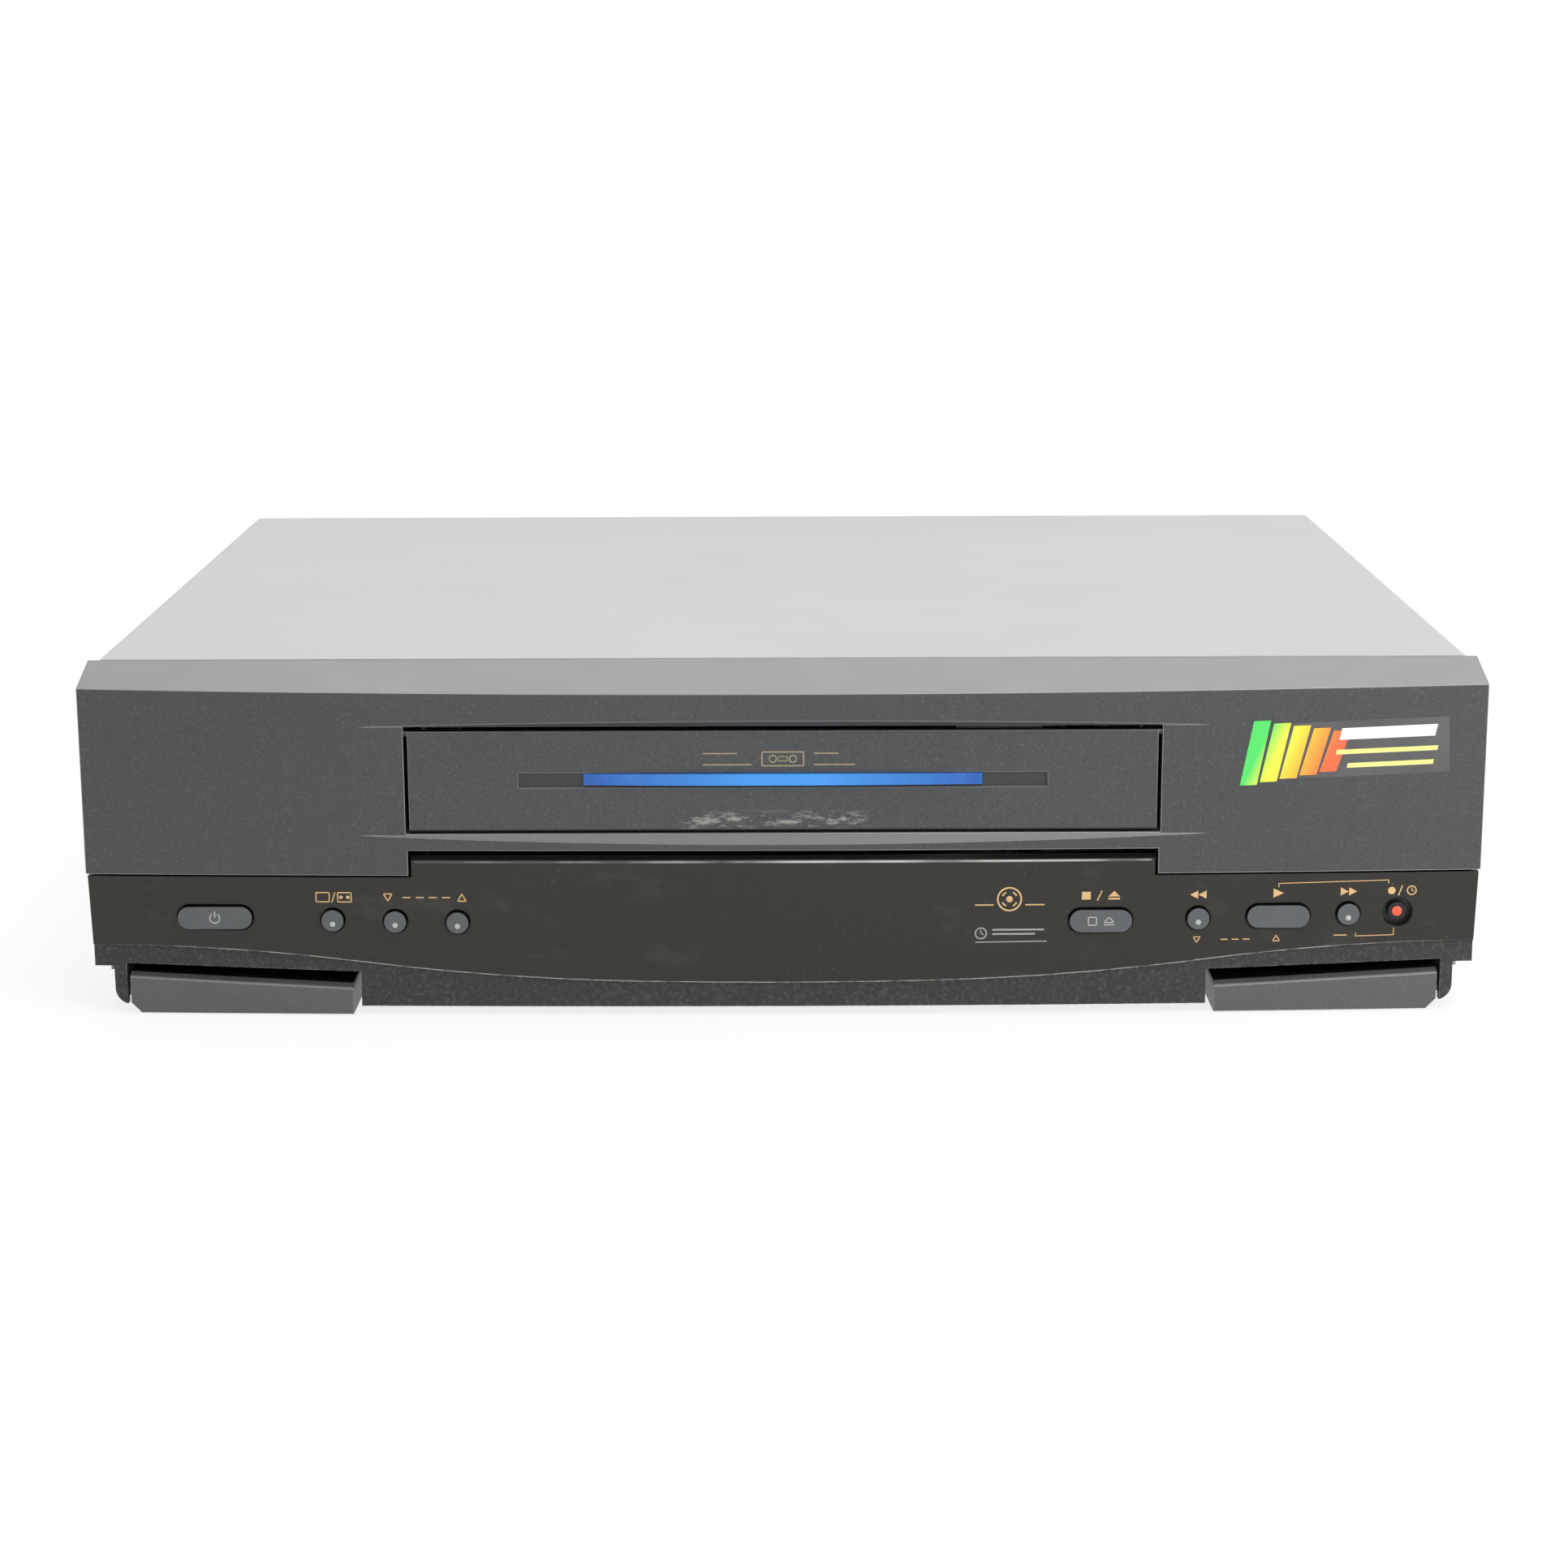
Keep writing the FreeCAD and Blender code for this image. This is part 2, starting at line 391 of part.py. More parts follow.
# Sizes that follow from others: name, formula, what it measures
FOLLOWING_SIZES = [
    ("cover_half_width", "=panel_half_width - cover_inset", "cover, middle to side"),
    ("control_half_width", "=panel_half_width - control_inset", "dark panel"),
    ("control_foot_half_width", "=panel_half_width - control_foot_inset", "dark panel at its lower ends"),
    ("skirt_half_width", "=panel_half_width - skirt_inset", "skirt above its step"),
    ("skirt_low_half_width", "=skirt_half_width - skirt_step", "skirt below its step"),
    ("rebate_outer", "=skirt_low_half_width - rebate_cheek", "foot rebate's outer side"),
    ("rebate_inner", "=rebate_outer - rebate_width", "foot rebate's inner side"),
    ("foot_outer", "=rebate_outer - foot_outer_gap", "front foot's outer side"),
    ("foot_inner", "=rebate_inner + foot_inner_gap", "front foot's inner side"),
    ("smile_turn_x", "=panel_half_width - smile_turn_inset", "where the curve turns over"),
    ("plate_half_width", "=skirt_low_half_width - plate_side_gap", "bottom plate"),
    ("board_half_width", "=plate_half_width - board_side_gap", "main board"),
    ("rear_foot_x", "=plate_half_width - rear_foot_inset", "rear feet"),
    ("tab_x", "=cover_half_width - tab_inset", "cover's rear tabs"),
    ("gland_x", "=cover_half_width - gland_inset", "cord gland"),
    ("antenna_x", "=cover_half_width - antenna_inset", "first antenna socket"),
    ("av_x", "=antenna_x - antenna_pitch - av_spacing", "first column of phono sockets"),
    ("capacitor_x", "=cover_half_width - capacitor_inset", "first capacitor"),
    ("chip_x", "=cover_half_width - chip_inset", "chips"),
    ("transformer_x", "=cover_half_width - transformer_inset", "transformer"),
    ("floor_vent_x", "=plate_half_width - floor_vent_inset", "floor vents"),
    ("key_board_half_width", "=control_half_width - key_board_inset", "key board"),
    ("key_post_outer_x", "=key_board_half_width - key_post_inset", "posts that hold the key board"),
    ("key_post_inner_x", "=stop_x - key_post_spacing", "posts that hold the key board"),
    ("tube_half_width", "=key_post_inner_x - tube_side_gap", "display tube"),
    ("power_x", "=panel_half_width - power_inset", "power key"),
    ("source_x", "=power_x - source_pitch", "source key"),
    ("channel_down_x", "=source_x - channel_pitch", "channel keys"),
    ("channel_up_x", "=channel_down_x - channel_key_pitch", "channel keys"),
    ("record_x", "=panel_half_width - record_inset", "record key"),
    ("forward_x", "=record_x - forward_pitch", "fast forward key"),
    ("play_x", "=forward_x - play_pitch", "play key"),
    ("rewind_x", "=play_x - rewind_pitch", "rewind key"),
    ("stop_x", "=rewind_x - stop_pitch", "stop key"),
    ("opening_half_width", "=cassette_width / 2 + opening_margin", "cassette opening"),
    ("notch_half_width", "=opening_half_width - notch_inset", "silver panel's middle notch"),
    ("control_rise_half_width", "=notch_half_width - rise_side_gap", "dark panel's raised middle"),
    ("door_slot_half_width", "=opening_half_width - door_slot_inset", "shallow slot in the door"),
    ("bar_half_width", "=door_slot_half_width - bar_inset", "accent bar"),
    ("deck_half_width", "=cassette_width / 2 + deck_margin", "deck plate"),
    ("deck_post_x", "=deck_half_width - deck_post_inset", "posts under the deck"),
    ("sink_x", "=deck_half_width + sink_spacing", "heat sink"),
    ("holder_window_outer", "=cassette_width / 2 - holder_window_inset", "holder's windows"),
    ("lip_reach", "=cassette_width / 2 - lip_width", "middle to the lips under the cassette"),
    ("insert_level", "=opening_bottom + insert_rise", "floor to the cassette as it goes in"),
    ("opening_top", "=opening_bottom + cassette_height + opening_headroom", "cassette opening"),
    ("fascia_bottom", "=opening_bottom - fascia_below", "floor to the silver panel's lower edge"),
    ("control_top", "=fascia_bottom - panel_seam", "dark panel's top at the sides"),
    ("control_rise_top", "=control_top + middle_rise", "dark panel's raised middle"),
    ("door_slot_bottom", "=opening_bottom + door_slot_height_up", "shallow slot in the door"),
    ("brow_back", "=case_top - brow_drop", "height of the brow at the seam"),
    ("brow_front", "=brow_back - brow_fall", "height of the brow's ridge at the ends"),
    ("seam_reach", "=front_reach - front_depth", "origin to the cover's front edge"),
    ("key_board_reach", "=front_reach - key_board_depth", "origin to the back of the key board"),
    ("plate_front", "=front_reach - plate_setback", "origin to the bottom plate's front edge"),
    ("board_front", "=front_reach - board_setback", "origin to the main board's front edge"),
    ("base_back", "=cover_reach - cover_sheet - rear_sheet", "origin to the back of the base"),
    ("plate_back", "=base_back - plate_back_gap", "origin to the bottom plate's back edge"),
    ("board_back", "=base_back - board_back_gap", "origin to the main board's back edge"),
    ("rear_boss_y", "=base_back - rear_boss_inset", "back row of bosses under the main board"),
    ("rear_foot_y", "=base_back - rear_foot_setback", "rear feet"),
    ("jack_reach", "=base_back + antenna_length", "origin to the ends of the antenna sockets"),
    ("av_reach", "=base_back + av_length", "origin to the ends of the phono sockets"),
    ("capacitor_y", "=base_back - capacitor_setback", "capacitors"),
]


class Size:
    """A number and the sheet's formula that gives it, kept together."""

    def __init__(self, value, text):
        self.value = float(value)
        self.text = text

    def __add__(self, other):
        other = as_size(other)
        return Size(self.value + other.value, "(%s + %s)" % (self.text, other.text))

    def __radd__(self, other):
        return as_size(other) + self

    def __sub__(self, other):
        other = as_size(other)
        return Size(self.value - other.value, "(%s - %s)" % (self.text, other.text))

    def __rsub__(self, other):
        return as_size(other) - self

    def __mul__(self, other):
        other = as_size(other)
        return Size(self.value * other.value, "(%s * %s)" % (self.text, other.text))

    def __rmul__(self, other):
        return as_size(other) * self

    def __truediv__(self, other):
        other = as_size(other)
        return Size(self.value / other.value, "(%s / %s)" % (self.text, other.text))

    def __rtruediv__(self, other):
        return as_size(other) / self

    def __neg__(self):
        return Size(-self.value, "(-%s)" % self.text)


def as_size(number):
    """A plain number as a Size; a Size comes back as it is."""
    if isinstance(number, Size):
        return number
    return Size(number, "(%s)" % repr(float(number)))


def root(size):
    return Size(math.sqrt(size.value), "sqrt(%s)" % size.text)


def sine(angle):
    angle = as_size(angle)
    return Size(math.sin(math.radians(angle.value)), "sin(%s)" % angle.text)


def cosine(angle):
    angle = as_size(angle)
    return Size(math.cos(math.radians(angle.value)), "cos(%s)" % angle.text)


def tangent(angle):
    angle = as_size(angle)
    return Size(math.tan(math.radians(angle.value)), "tan(%s)" % angle.text)


def arc_cosine(share):
    return Size(math.degrees(math.acos(share.value)), "(acos(%s) / 1deg)" % share.text)


def whole(size):
    """The whole number below a size."""
    return Size(math.floor(size.value), "floor(%s)" % size.text)


class Sheet:
    """The spreadsheet, whose sizes are read by name."""

    def __init__(self, rows):
        self.sheet = doc.addObject("Spreadsheet::Sheet", "sizes")
        for line, (name, value, meaning) in enumerate(rows, start=1):
            self.sheet.set("A%d" % line, name)
            self.sheet.set("B%d" % line, str(value))
            self.sheet.setAlias("B%d" % line, name)
            self.sheet.set("C%d" % line, meaning)
        doc.recompute()

    def __getattr__(self, name):
        return Size(self.sheet.get(name), "sizes." + name)


dim = Sheet(DRIVING_SIZES + FOLLOWING_SIZES)
pieces = []


def bind(thing, name, size):
    thing.setExpression(name, as_size(size).text)


def origin_part(body, role):
    """One of a body's own origin planes or axes."""
    return [part for part in body.Origin.OriginFeatures if part.Role == role][0]


def new_body(label, x=0, y=0, z=0):
    """An empty body under its label, with its place bound to the sheet."""
    body = doc.addObject("PartDesign::Body", label)
    body.Label = label
    for axis, size in zip("xyz", (x, y, z)):
        bind(body, "Placement.Base." + axis, size)
    pieces.append(body)
    return body


def lean(body, angle, x, y, z):
    """Turn a body about a direction through its own origin."""
    body.Placement.Rotation = FreeCAD.Rotation(FreeCAD.Vector(x, y, z), as_size(angle).value)
    bind(body, "Placement.Rotation.Angle", angle)


def box(left, right, low, high):
    """A rectangle as a closed outline."""
    return [(left, low), (right, low), (right, high), (left, high)]


def square(x, y, half):
    """A square about a point."""
    return box(x - half, x + half, y - half, y + half)


class Disc:
    """A circle in a sketch."""

    def __init__(self, x, y, radius):
        self.x = as_size(x)
        self.y = as_size(y)
        self.radius = as_size(radius)


class Belt:
    """Two round ends joined by straight runs."""

    def __init__(self, x1, y1, radius1, x2, y2, radius2):
        self.ends = (Disc(x1, y1, radius1), Disc(x2, y2, radius2))


def pin_point(sketch, geometry, position, x, y):
    """Hold one point of a sketch at a place measured from the sketch's origin."""
    for kind, size in (("DistanceX", x), ("DistanceY", y)):
        place = Sketcher.Constraint(kind, -1, 1, geometry, position, size.value)
        index = sketch.addConstraint(place)
        bind(sketch, "Constraints[%d]" % index, size)


def set_radius(sketch, geometry, radius):
    index = sketch.addConstraint(Sketcher.Constraint("Radius", geometry, radius.value))
    bind(sketch, "Constraints[%d]" % index, radius)


def arc_between(start, end, radius):
    """The short arc from start to end: anticlockwise with a positive radius, else clockwise."""
    chord = end - start
    half = chord.Length / 2
    size = max(abs(radius), half * 1.000001)
    rise = math.sqrt(size * size - half * half)
    left = FreeCAD.Vector(-chord.y, chord.x, 0).normalize()
    centre = (start + end) * 0.5 + left * (rise if radius > 0 else -rise)
    first, last = (start, end) if radius > 0 else (end, start)
    first_angle = math.atan2(first.y - centre.y, first.x - centre.x)
    last_angle = math.atan2(last.y - centre.y, last.x - centre.x)
    if last_angle < first_angle:
        last_angle += 2 * math.pi
    circle = Part.Circle(centre, FreeCAD.Vector(0, 0, 1), size)
    return Part.ArcOfCircle(circle, first_angle, last_angle)


def draw_outline(sketch, outline):
    """Draw a closed outline. A point's third entry is the radius of the arc that leads to it."""
    points = [tuple(as_size(entry) for entry in point) for point in outline]
    corners = [FreeCAD.Vector(point[0].value, point[1].value, 0) for point in points]
    edges = []
    for index, corner in enumerate(corners):
        following = (index + 1) % len(points)
        if len(points[following]) > 2:
            radius = points[following][2]
            shape = arc_between(corner, corners[following], radius.value)
            geometry = sketch.addGeometry(shape, False)
            size = radius if radius.value > 0 else -radius
            set_radius(sketch, geometry, size)
            edges.append((geometry, 1, 2) if radius.value > 0 else (geometry, 2, 1))
        else:
            line = Part.LineSegment(corner, corners[following])
            edges.append((sketch.addGeometry(line, False), 1, 2))
    for index, (geometry, start, end) in enumerate(edges):
        before = edges[index - 1]
        sketch.addConstraint(Sketcher.Constraint("Coincident", before[0], before[2], geometry, start))
        pin_point(sketch, geometry, start, points[index][0], points[index][1])


def draw_disc(sketch, disc):
    centre = FreeCAD.Vector(disc.x.value, disc.y.value, 0)
    circle = Part.Circle(centre, FreeCAD.Vector(0, 0, 1), disc.radius.value)
    geometry = sketch.addGeometry(circle, False)
    pin_point(sketch, geometry, 3, disc.x, disc.y)
    set_radius(sketch, geometry, disc.radius)


def draw_belt(sketch, belt):
    """Two arcs and the two straight runs that touch them."""
    first, second = belt.ends
    start = FreeCAD.Vector(first.x.value, first.y.value, 0)
    along = FreeCAD.Vector(second.x.value, second.y.value, 0) - start
    heading = math.atan2(along.y, along.x)
    spread = math.acos((first.radius.value - second.radius.value) / along.Length)
    up = FreeCAD.Vector(0, 0, 1)
    arcs = []
    for end, begin, finish in ((first, spread, 2 * math.pi - spread), (second, -spread, spread)):
        circle = Part.Circle(FreeCAD.Vector(end.x.value, end.y.value, 0), up, end.radius.value)
        arc = Part.ArcOfCircle(circle, heading + begin, heading + finish)
        geometry = sketch.addGeometry(arc, False)
        pin_point(sketch, geometry, 3, end.x, end.y)
        set_radius(sketch, geometry, end.radius)
        arcs.append((geometry, arc))
    for (one, one_arc), (two, two_arc) in ((arcs[0], arcs[1]), (arcs[1], arcs[0])):
        line = Part.LineSegment(one_arc.EndPoint, two_arc.StartPoint)
        geometry = sketch.addGeometry(line, False)
        sketch.addConstraint(Sketcher.Constraint("Tangent", one, 2, geometry, 1))
        sketch.addConstraint(Sketcher.Constraint("Tangent", geometry, 2, two, 1))


def new_sketch(body, plane, level, loops):
    """A sketch parallel to one of the body's planes. The XZ plane faces the front."""
    sketch = body.newObject("Sketcher::SketchObject", "sketch")
    sketch.AttachmentSupport = [(origin_part(body, plane + "_Plane"), "")]
    sketch.MapMode = "FlatFace"
    bind(sketch, "AttachmentOffset.Base.z", -as_size(level) if plane == "XZ" else level)
    for loop in loops:
        if isinstance(loop, Disc):
            draw_disc(sketch, loop)
        elif isinstance(loop, Belt):
            draw_belt(sketch, loop)
        else:
            draw_outline(sketch, loop)
    return sketch


def pad(body, plane, low, high, *loops):
    """Add material between two levels of the plane's own direction."""
    sketch = new_sketch(body, plane, high if plane == "XZ" else low, loops)
    feature = body.newObject("PartDesign::Pad", "pad")
    feature.Profile = (sketch, [""])
    bind(feature, "Length", as_size(high) - low)
    return feature


def cut(body, plane, low, high, *loops):
    """Take material away between two levels of the plane's own direction."""
    sketch = new_sketch(body, plane, low if plane == "XZ" else high, loops)
    feature = body.newObject("PartDesign::Pocket", "pocket")
    feature.Profile = (sketch, [""])
    bind(feature, "Length", as_size(high) - low)
    return feature


def turn(body, profile, tilt=0):
    """Add a turned form: a profile of radius and height round the upright axis, or one tilted forwards."""
    sketch = new_sketch(body, "YZ", 0, [profile])
    bind(sketch, "AttachmentOffset.Rotation.Angle", tilt)
    feature = body.newObject("PartDesign::Revolution", "revolution")
    feature.Profile = (sketch, [""])
    feature.ReferenceAxis = (sketch, ["V_Axis"])
    feature.Angle = 360
    return feature


def row(body, feature, axis, length, count):
    """Repeat a feature along one of the body's axes."""
    pattern = body.newObject("PartDesign::LinearPattern", "row")
    pattern.Originals = [feature]
    pattern.Direction = (origin_part(body, axis + "_Axis"), [""])
    bind(pattern, "Length", length)
    bind(pattern, "Occurrences", count)
    body.Tip = pattern
    return pattern


def ring(body, feature, axis, count):
    """Repeat a feature round one of the body's axes."""
    pattern = body.newObject("PartDesign::PolarPattern", "ring")
    pattern.Originals = [feature]
    pattern.Axis = (origin_part(body, axis + "_Axis"), [""])
    pattern.Angle = 360
    bind(pattern, "Occurrences", count)
    body.Tip = pattern
    return pattern


def soften(body, kind, size, chosen):
    """Round or bevel the edges of a body for which the test says yes."""
    doc.recompute()
    base = body.Tip
    names = ["Edge%d" % (index + 1) for index, edge in enumerate(base.Shape.Edges) if chosen(edge)]
    feature = body.newObject("PartDesign::" + kind, kind.lower())
    feature.Base = (base, names)
    bind(feature, "Radius" if kind == "Fillet" else "Size", size)
    return feature


# Forms that several front pieces share
bow_radius = (dim.panel_half_width * dim.panel_half_width + dim.bow_drop * dim.bow_drop) / (2 * dim.bow_drop)
beyond = 20
seam = -dim.seam_reach
brow_slope = (dim.brow_back - dim.brow_front) / (dim.front_reach - dim.bow_drop - dim.seam_reach)


def bow(x, setback=0):
    """How far back the bowed front lies at a distance from the middle."""
    x = as_size(x)
    return bow_radius - dim.front_reach + setback - root(bow_radius * bow_radius - x * x)


def bowed_block(half_width, back, setback=0):
    """Plan outline of a solid block with the bowed front."""
    return [
        (-half_width, bow(half_width, setback)),
        (half_width, bow(half_width, setback), bow_radius),
        (half_width, back),
        (-half_width, back),
    ]


def bowed_wall(half_width, back, setback, wall):
    """Plan outline of a thin bowed front with a wall at each side that runs to the back."""
    inner = half_width - wall
    return [
        (-half_width, bow(half_width, setback)),
        (half_width, bow(half_width, setback), bow_radius),
        (half_width, back),
        (inner, back),
        (inner, bow(inner, setback) + wall),
        (-inner, bow(inner, setback) + wall, -bow_radius),
        (-inner, back),
        (-half_width, back),
    ]


def smile(drop=0):
    """The dark panel's lower edge from left to right: a flat arc, two rising arcs, two end arcs."""
    end, turn_x, inner_x = dim.control_foot_half_width, dim.smile_turn_x, dim.smile_inner_x
    end_z = dim.smile_end_height - drop
    turn_z = dim.smile_turn_height - drop
    inner_z = dim.smile_inner_height - drop
    return [
        (-end, end_z),
        (-turn_x, turn_z, -dim.smile_end_radius),
        (-inner_x, inner_z, dim.smile_rise_radius),
        (inner_x, inner_z, dim.smile_flat_radius),
        (turn_x, turn_z, dim.smile_rise_radius),
        (end, end_z, -dim.smile_end_radius),
    ]


def frame_round(outline, left, right, low, high):
    """Everything in a rectangle except what the outline holds."""
    return box(left, right, low, high), outline


tongue_half_width = dim.cover_half_width - dim.cover_sheet - dim.base_gap
tongue_top = dim.case_top - dim.cover_sheet - dim.small_gap
inner_bend = dim.cover_bend - dim.cover_sheet


def under_cover(bottom):
    """Front outline of what fits inside the cover, with its upper corners clear of the bends."""
    return [
        (-tongue_half_width, bottom),
        (tongue_half_width, bottom),
        (tongue_half_width, tongue_top - inner_bend),
        (tongue_half_width - inner_bend, tongue_top),
        (-tongue_half_width + inner_bend, tongue_top),
        (-tongue_half_width, tongue_top - inner_bend),
    ]


# Silver front panel: bowed shell with brow, recess, cassette opening and collar
front_panel = new_body("front_panel")
pad(front_panel, "XY", dim.fascia_bottom, dim.brow_back, bowed_block(dim.panel_half_width, seam))
pad(
    front_panel, "XZ", seam - 1, seam + dim.tongue_depth,
    under_cover(dim.fascia_bottom),
)
cut(
    front_panel, "YZ", -dim.panel_half_width - beyond, dim.panel_half_width + beyond,
    [
        (seam, dim.brow_back),
        (seam, dim.brow_back + beyond),
        (seam - 2 * beyond, dim.brow_back + beyond),
        (seam - 2 * beyond, dim.brow_back - 2 * beyond * brow_slope),
    ],
)
cavity_half_width = dim.panel_half_width - dim.moulding_wall
cavity_front = bow(cavity_half_width, dim.moulding_wall)
brow_under = tongue_top - dim.moulding_wall
cut(
    front_panel, "YZ", dim.moulding_wall - tongue_half_width, tongue_half_width - dim.moulding_wall,
    [
        (cavity_front, dim.fascia_bottom - 1),
        (seam + dim.tongue_depth + 1, dim.fascia_bottom - 1),
        (seam + dim.tongue_depth + 1, brow_under),
        (seam, brow_under),
        (cavity_front, brow_under - (seam - cavity_front) * brow_slope),
    ],
)
cut(
    front_panel, "XY", dim.fascia_bottom - 1, brow_under - (seam + dim.front_reach) * brow_slope,
    bowed_block(cavity_half_width, seam - dim.moulding_wall, dim.moulding_wall),
)
recess = -dim.front_reach + dim.recess_depth
recess_reach = dim.recess_depth + 1
ledge_fall = dim.ledge_drop * recess_reach / dim.recess_depth
pad(
    front_panel, "XZ", recess + dim.small_gap, recess + dim.collar_depth,
    *frame_round(
        box(
            -dim.opening_half_width + 1, dim.opening_half_width - 1,
            dim.opening_bottom + 1, dim.opening_top - 1,
        ),
        -dim.opening_half_width - dim.collar_wall, dim.opening_half_width + dim.collar_wall,
        dim.opening_bottom - dim.collar_wall, dim.opening_top + dim.collar_wall,
    ),
)
cut(
    front_panel, "YZ", -dim.panel_half_width - beyond, dim.panel_half_width + beyond,
    [
        (recess, dim.opening_bottom - dim.sill_lip),
        (recess, dim.opening_top),
        (recess - recess_reach, dim.opening_top + dim.overhang_rise * recess_reach / dim.recess_depth),
        (recess - recess_reach, dim.opening_bottom - dim.sill_lip - ledge_fall),
    ],
)
cut(
    front_panel, "XZ", -dim.front_reach - 1, recess + dim.collar_depth + 1,
    box(-dim.opening_half_width, dim.opening_half_width, dim.opening_bottom, dim.opening_top),
)
cut(
    front_panel, "XY", dim.fascia_bottom - 1, dim.fascia_bottom + dim.notch_height,
    box(-dim.notch_half_width, dim.notch_half_width, -dim.front_reach - beyond, seam + beyond),
)
door_pivot_y = recess + dim.door_axis_depth
door_pivot_z = dim.opening_top - dim.door_top_gap - dim.door_axis_drop
door_pin_reach = dim.opening_half_width + dim.collar_wall - 0.5
cut(
    front_panel, "YZ", -door_pin_reach - dim.small_gap, door_pin_reach + dim.small_gap,
    Disc(door_pivot_y, door_pivot_z, dim.door_pin_radius + dim.running_gap),
)

# Cassette door: hinged plate with pivots at its top corners and a shallow slot for the accent bar
door_half_width = dim.opening_half_width - dim.door_side_gap
door_bottom = dim.opening_bottom + dim.door_bottom_gap
door_top = dim.opening_top - dim.door_top_gap
cassette_door = new_body("cassette_door")
pad(
    cassette_door, "XZ", recess, recess + dim.door_thickness,
    box(-door_half_width, door_half_width, door_bottom, door_top),
)
slot_top = dim.door_slot_bottom + dim.door_slot_height
cut(
    cassette_door, "XZ", recess - 1, recess + dim.door_slot_depth,
    box(-dim.door_slot_half_width, dim.door_slot_half_width, dim.door_slot_bottom, slot_top),
)
pad(
    cassette_door, "YZ", -door_pin_reach, door_pin_reach,
    Disc(door_pivot_y, door_pivot_z, dim.door_pin_radius),
)
soften(
    cassette_door, "Fillet", dim.door_edge,
    lambda edge: edge.BoundBox.ZMin > door_top.value - 0.01 and edge.Length > door_half_width.value,
)

# Blue accent bar: a strip whose front is bowed in plan, set in the door's slot
door_accent_bar = new_body("door_accent_bar")
bar_rest = recess + dim.door_slot_depth
bar_end = recess - dim.bar_end_proud
bar_middle = recess - dim.bar_bulge - dim.bar_end_proud
bar_radius = (dim.bar_half_width * dim.bar_half_width + dim.bar_bulge * dim.bar_bulge) / (2 * dim.bar_bulge)
pad(
    door_accent_bar, "XY", dim.door_slot_bottom + dim.bar_lower_gap, slot_top - dim.bar_gap,
    [
        (-dim.bar_half_width, bar_end),
        (dim.bar_half_width, bar_end, bar_radius),
        (dim.bar_half_width, bar_rest),
        (-dim.bar_half_width, bar_rest),
    ],
)

# Dark control panel: bowed shell trimmed to its curved lower edge and its raised middle
control_panel = new_body("control_panel")
pad(
    control_panel, "XY", dim.skirt_bottom, dim.control_rise_top,
    bowed_wall(dim.control_half_width, seam, dim.control_setback, dim.moulding_wall),
)
control_outline = smile() + [
    (dim.control_half_width, dim.control_top),
    (dim.control_rise_half_width, dim.control_top),
    (dim.control_rise_half_width, dim.control_rise_top + 1),
    (-dim.control_rise_half_width, dim.control_rise_top + 1),
    (-dim.control_rise_half_width, dim.control_top),
    (-dim.control_half_width, dim.control_top),
]
outer_edge = dim.panel_half_width + beyond
cut(
    control_panel, "XZ", -dim.front_reach - 1, seam + 1,
    *frame_round(control_outline, -outer_edge, outer_edge, -beyond, dim.control_rise_top + beyond),
)
bevel_back = bow(dim.control_rise_half_width, dim.control_setback)
bevel_front = bow(0, dim.control_setback)
bevel_slope = dim.control_bevel / (bevel_back - bevel_front)
cut(
    control_panel, "YZ", -dim.control_rise_half_width, dim.control_rise_half_width,
    [
        (bevel_back, dim.control_rise_top),
        (bevel_back, dim.control_rise_top + 1),
        (bevel_front - 1, dim.control_rise_top + 1),
        (bevel_front - 1, dim.control_rise_top - dim.control_bevel - bevel_slope),
    ],
)
key_board_back = -dim.key_board_reach
key_board_front = key_board_back - dim.board_thickness
for side in (-1, 1):
    for post_x in (dim.key_post_inner_x, dim.key_post_outer_x):
        pad(
            control_panel, "XZ", bow(post_x) + dim.moulding_wall - 0.5, key_board_front,
            square(side * post_x, dim.key_post_height, dim.key_post_half),
        )

# Moulded base: floor, walls, posts, textured skirt and the webs over the front feet
base_frame = new_body("base_frame")
floor_level = dim.plate_level + dim.plate_sheet
floor_top = floor_level + dim.base_wall
base_half_width = dim.cover_half_width - dim.cover_sheet - dim.base_gap
skirt_top = dim.smile_end_height + dim.skirt_overlap
pad(
    base_frame, "XY", dim.skirt_step_height, skirt_top,
    bowed_wall(dim.skirt_half_width, seam, dim.skirt_setback, dim.moulding_wall),
)
pad(
    base_frame, "XY", dim.skirt_bottom, dim.skirt_step_height,
    bowed_wall(dim.skirt_low_half_width, seam, dim.skirt_setback, dim.moulding_wall),
)
pad(
    base_frame, "XY", dim.skirt_step_height, dim.skirt_step_height + dim.base_wall,
    bowed_wall(
        dim.skirt_half_width, seam, dim.skirt_setback,
        dim.skirt_half_width - dim.skirt_low_half_width + dim.moulding_wall,
    ),
)
pad(
    base_frame, "XY", floor_level, floor_top,
    bowed_block(dim.skirt_low_half_width - 1, seam, dim.skirt_setback + 1),
)
pad(
    base_frame, "XY", floor_level, floor_top,
    box(-base_half_width, base_half_width, seam - 1, dim.base_back),
)
pad(
    base_frame, "XY", floor_level, dim.base_wall_top,
    box(base_half_width - dim.base_wall, base_half_width, seam - 1, dim.base_back),
    box(-base_half_width, -base_half_width + dim.base_wall, seam - 1, dim.base_back),
)
board_level = floor_top + dim.board_boss_height
board_top = board_level + dim.board_thickness
pad(
    base_frame, "XY", floor_level, board_level,
    box(-base_half_width, base_half_width, dim.base_back - dim.base_wall, dim.base_back),
)
cut(
    base_frame, "XZ", -dim.front_reach - 1, seam + 1,
    smile(dim.skirt_gap) + [
        (outer_edge, dim.smile_end_height),
        (outer_edge, skirt_top + 1),
        (-outer_edge, skirt_top + 1),
        (-outer_edge, dim.smile_end_height),
    ],
)
rebate_back = dim.foot_depth - dim.front_reach + dim.rebate_play
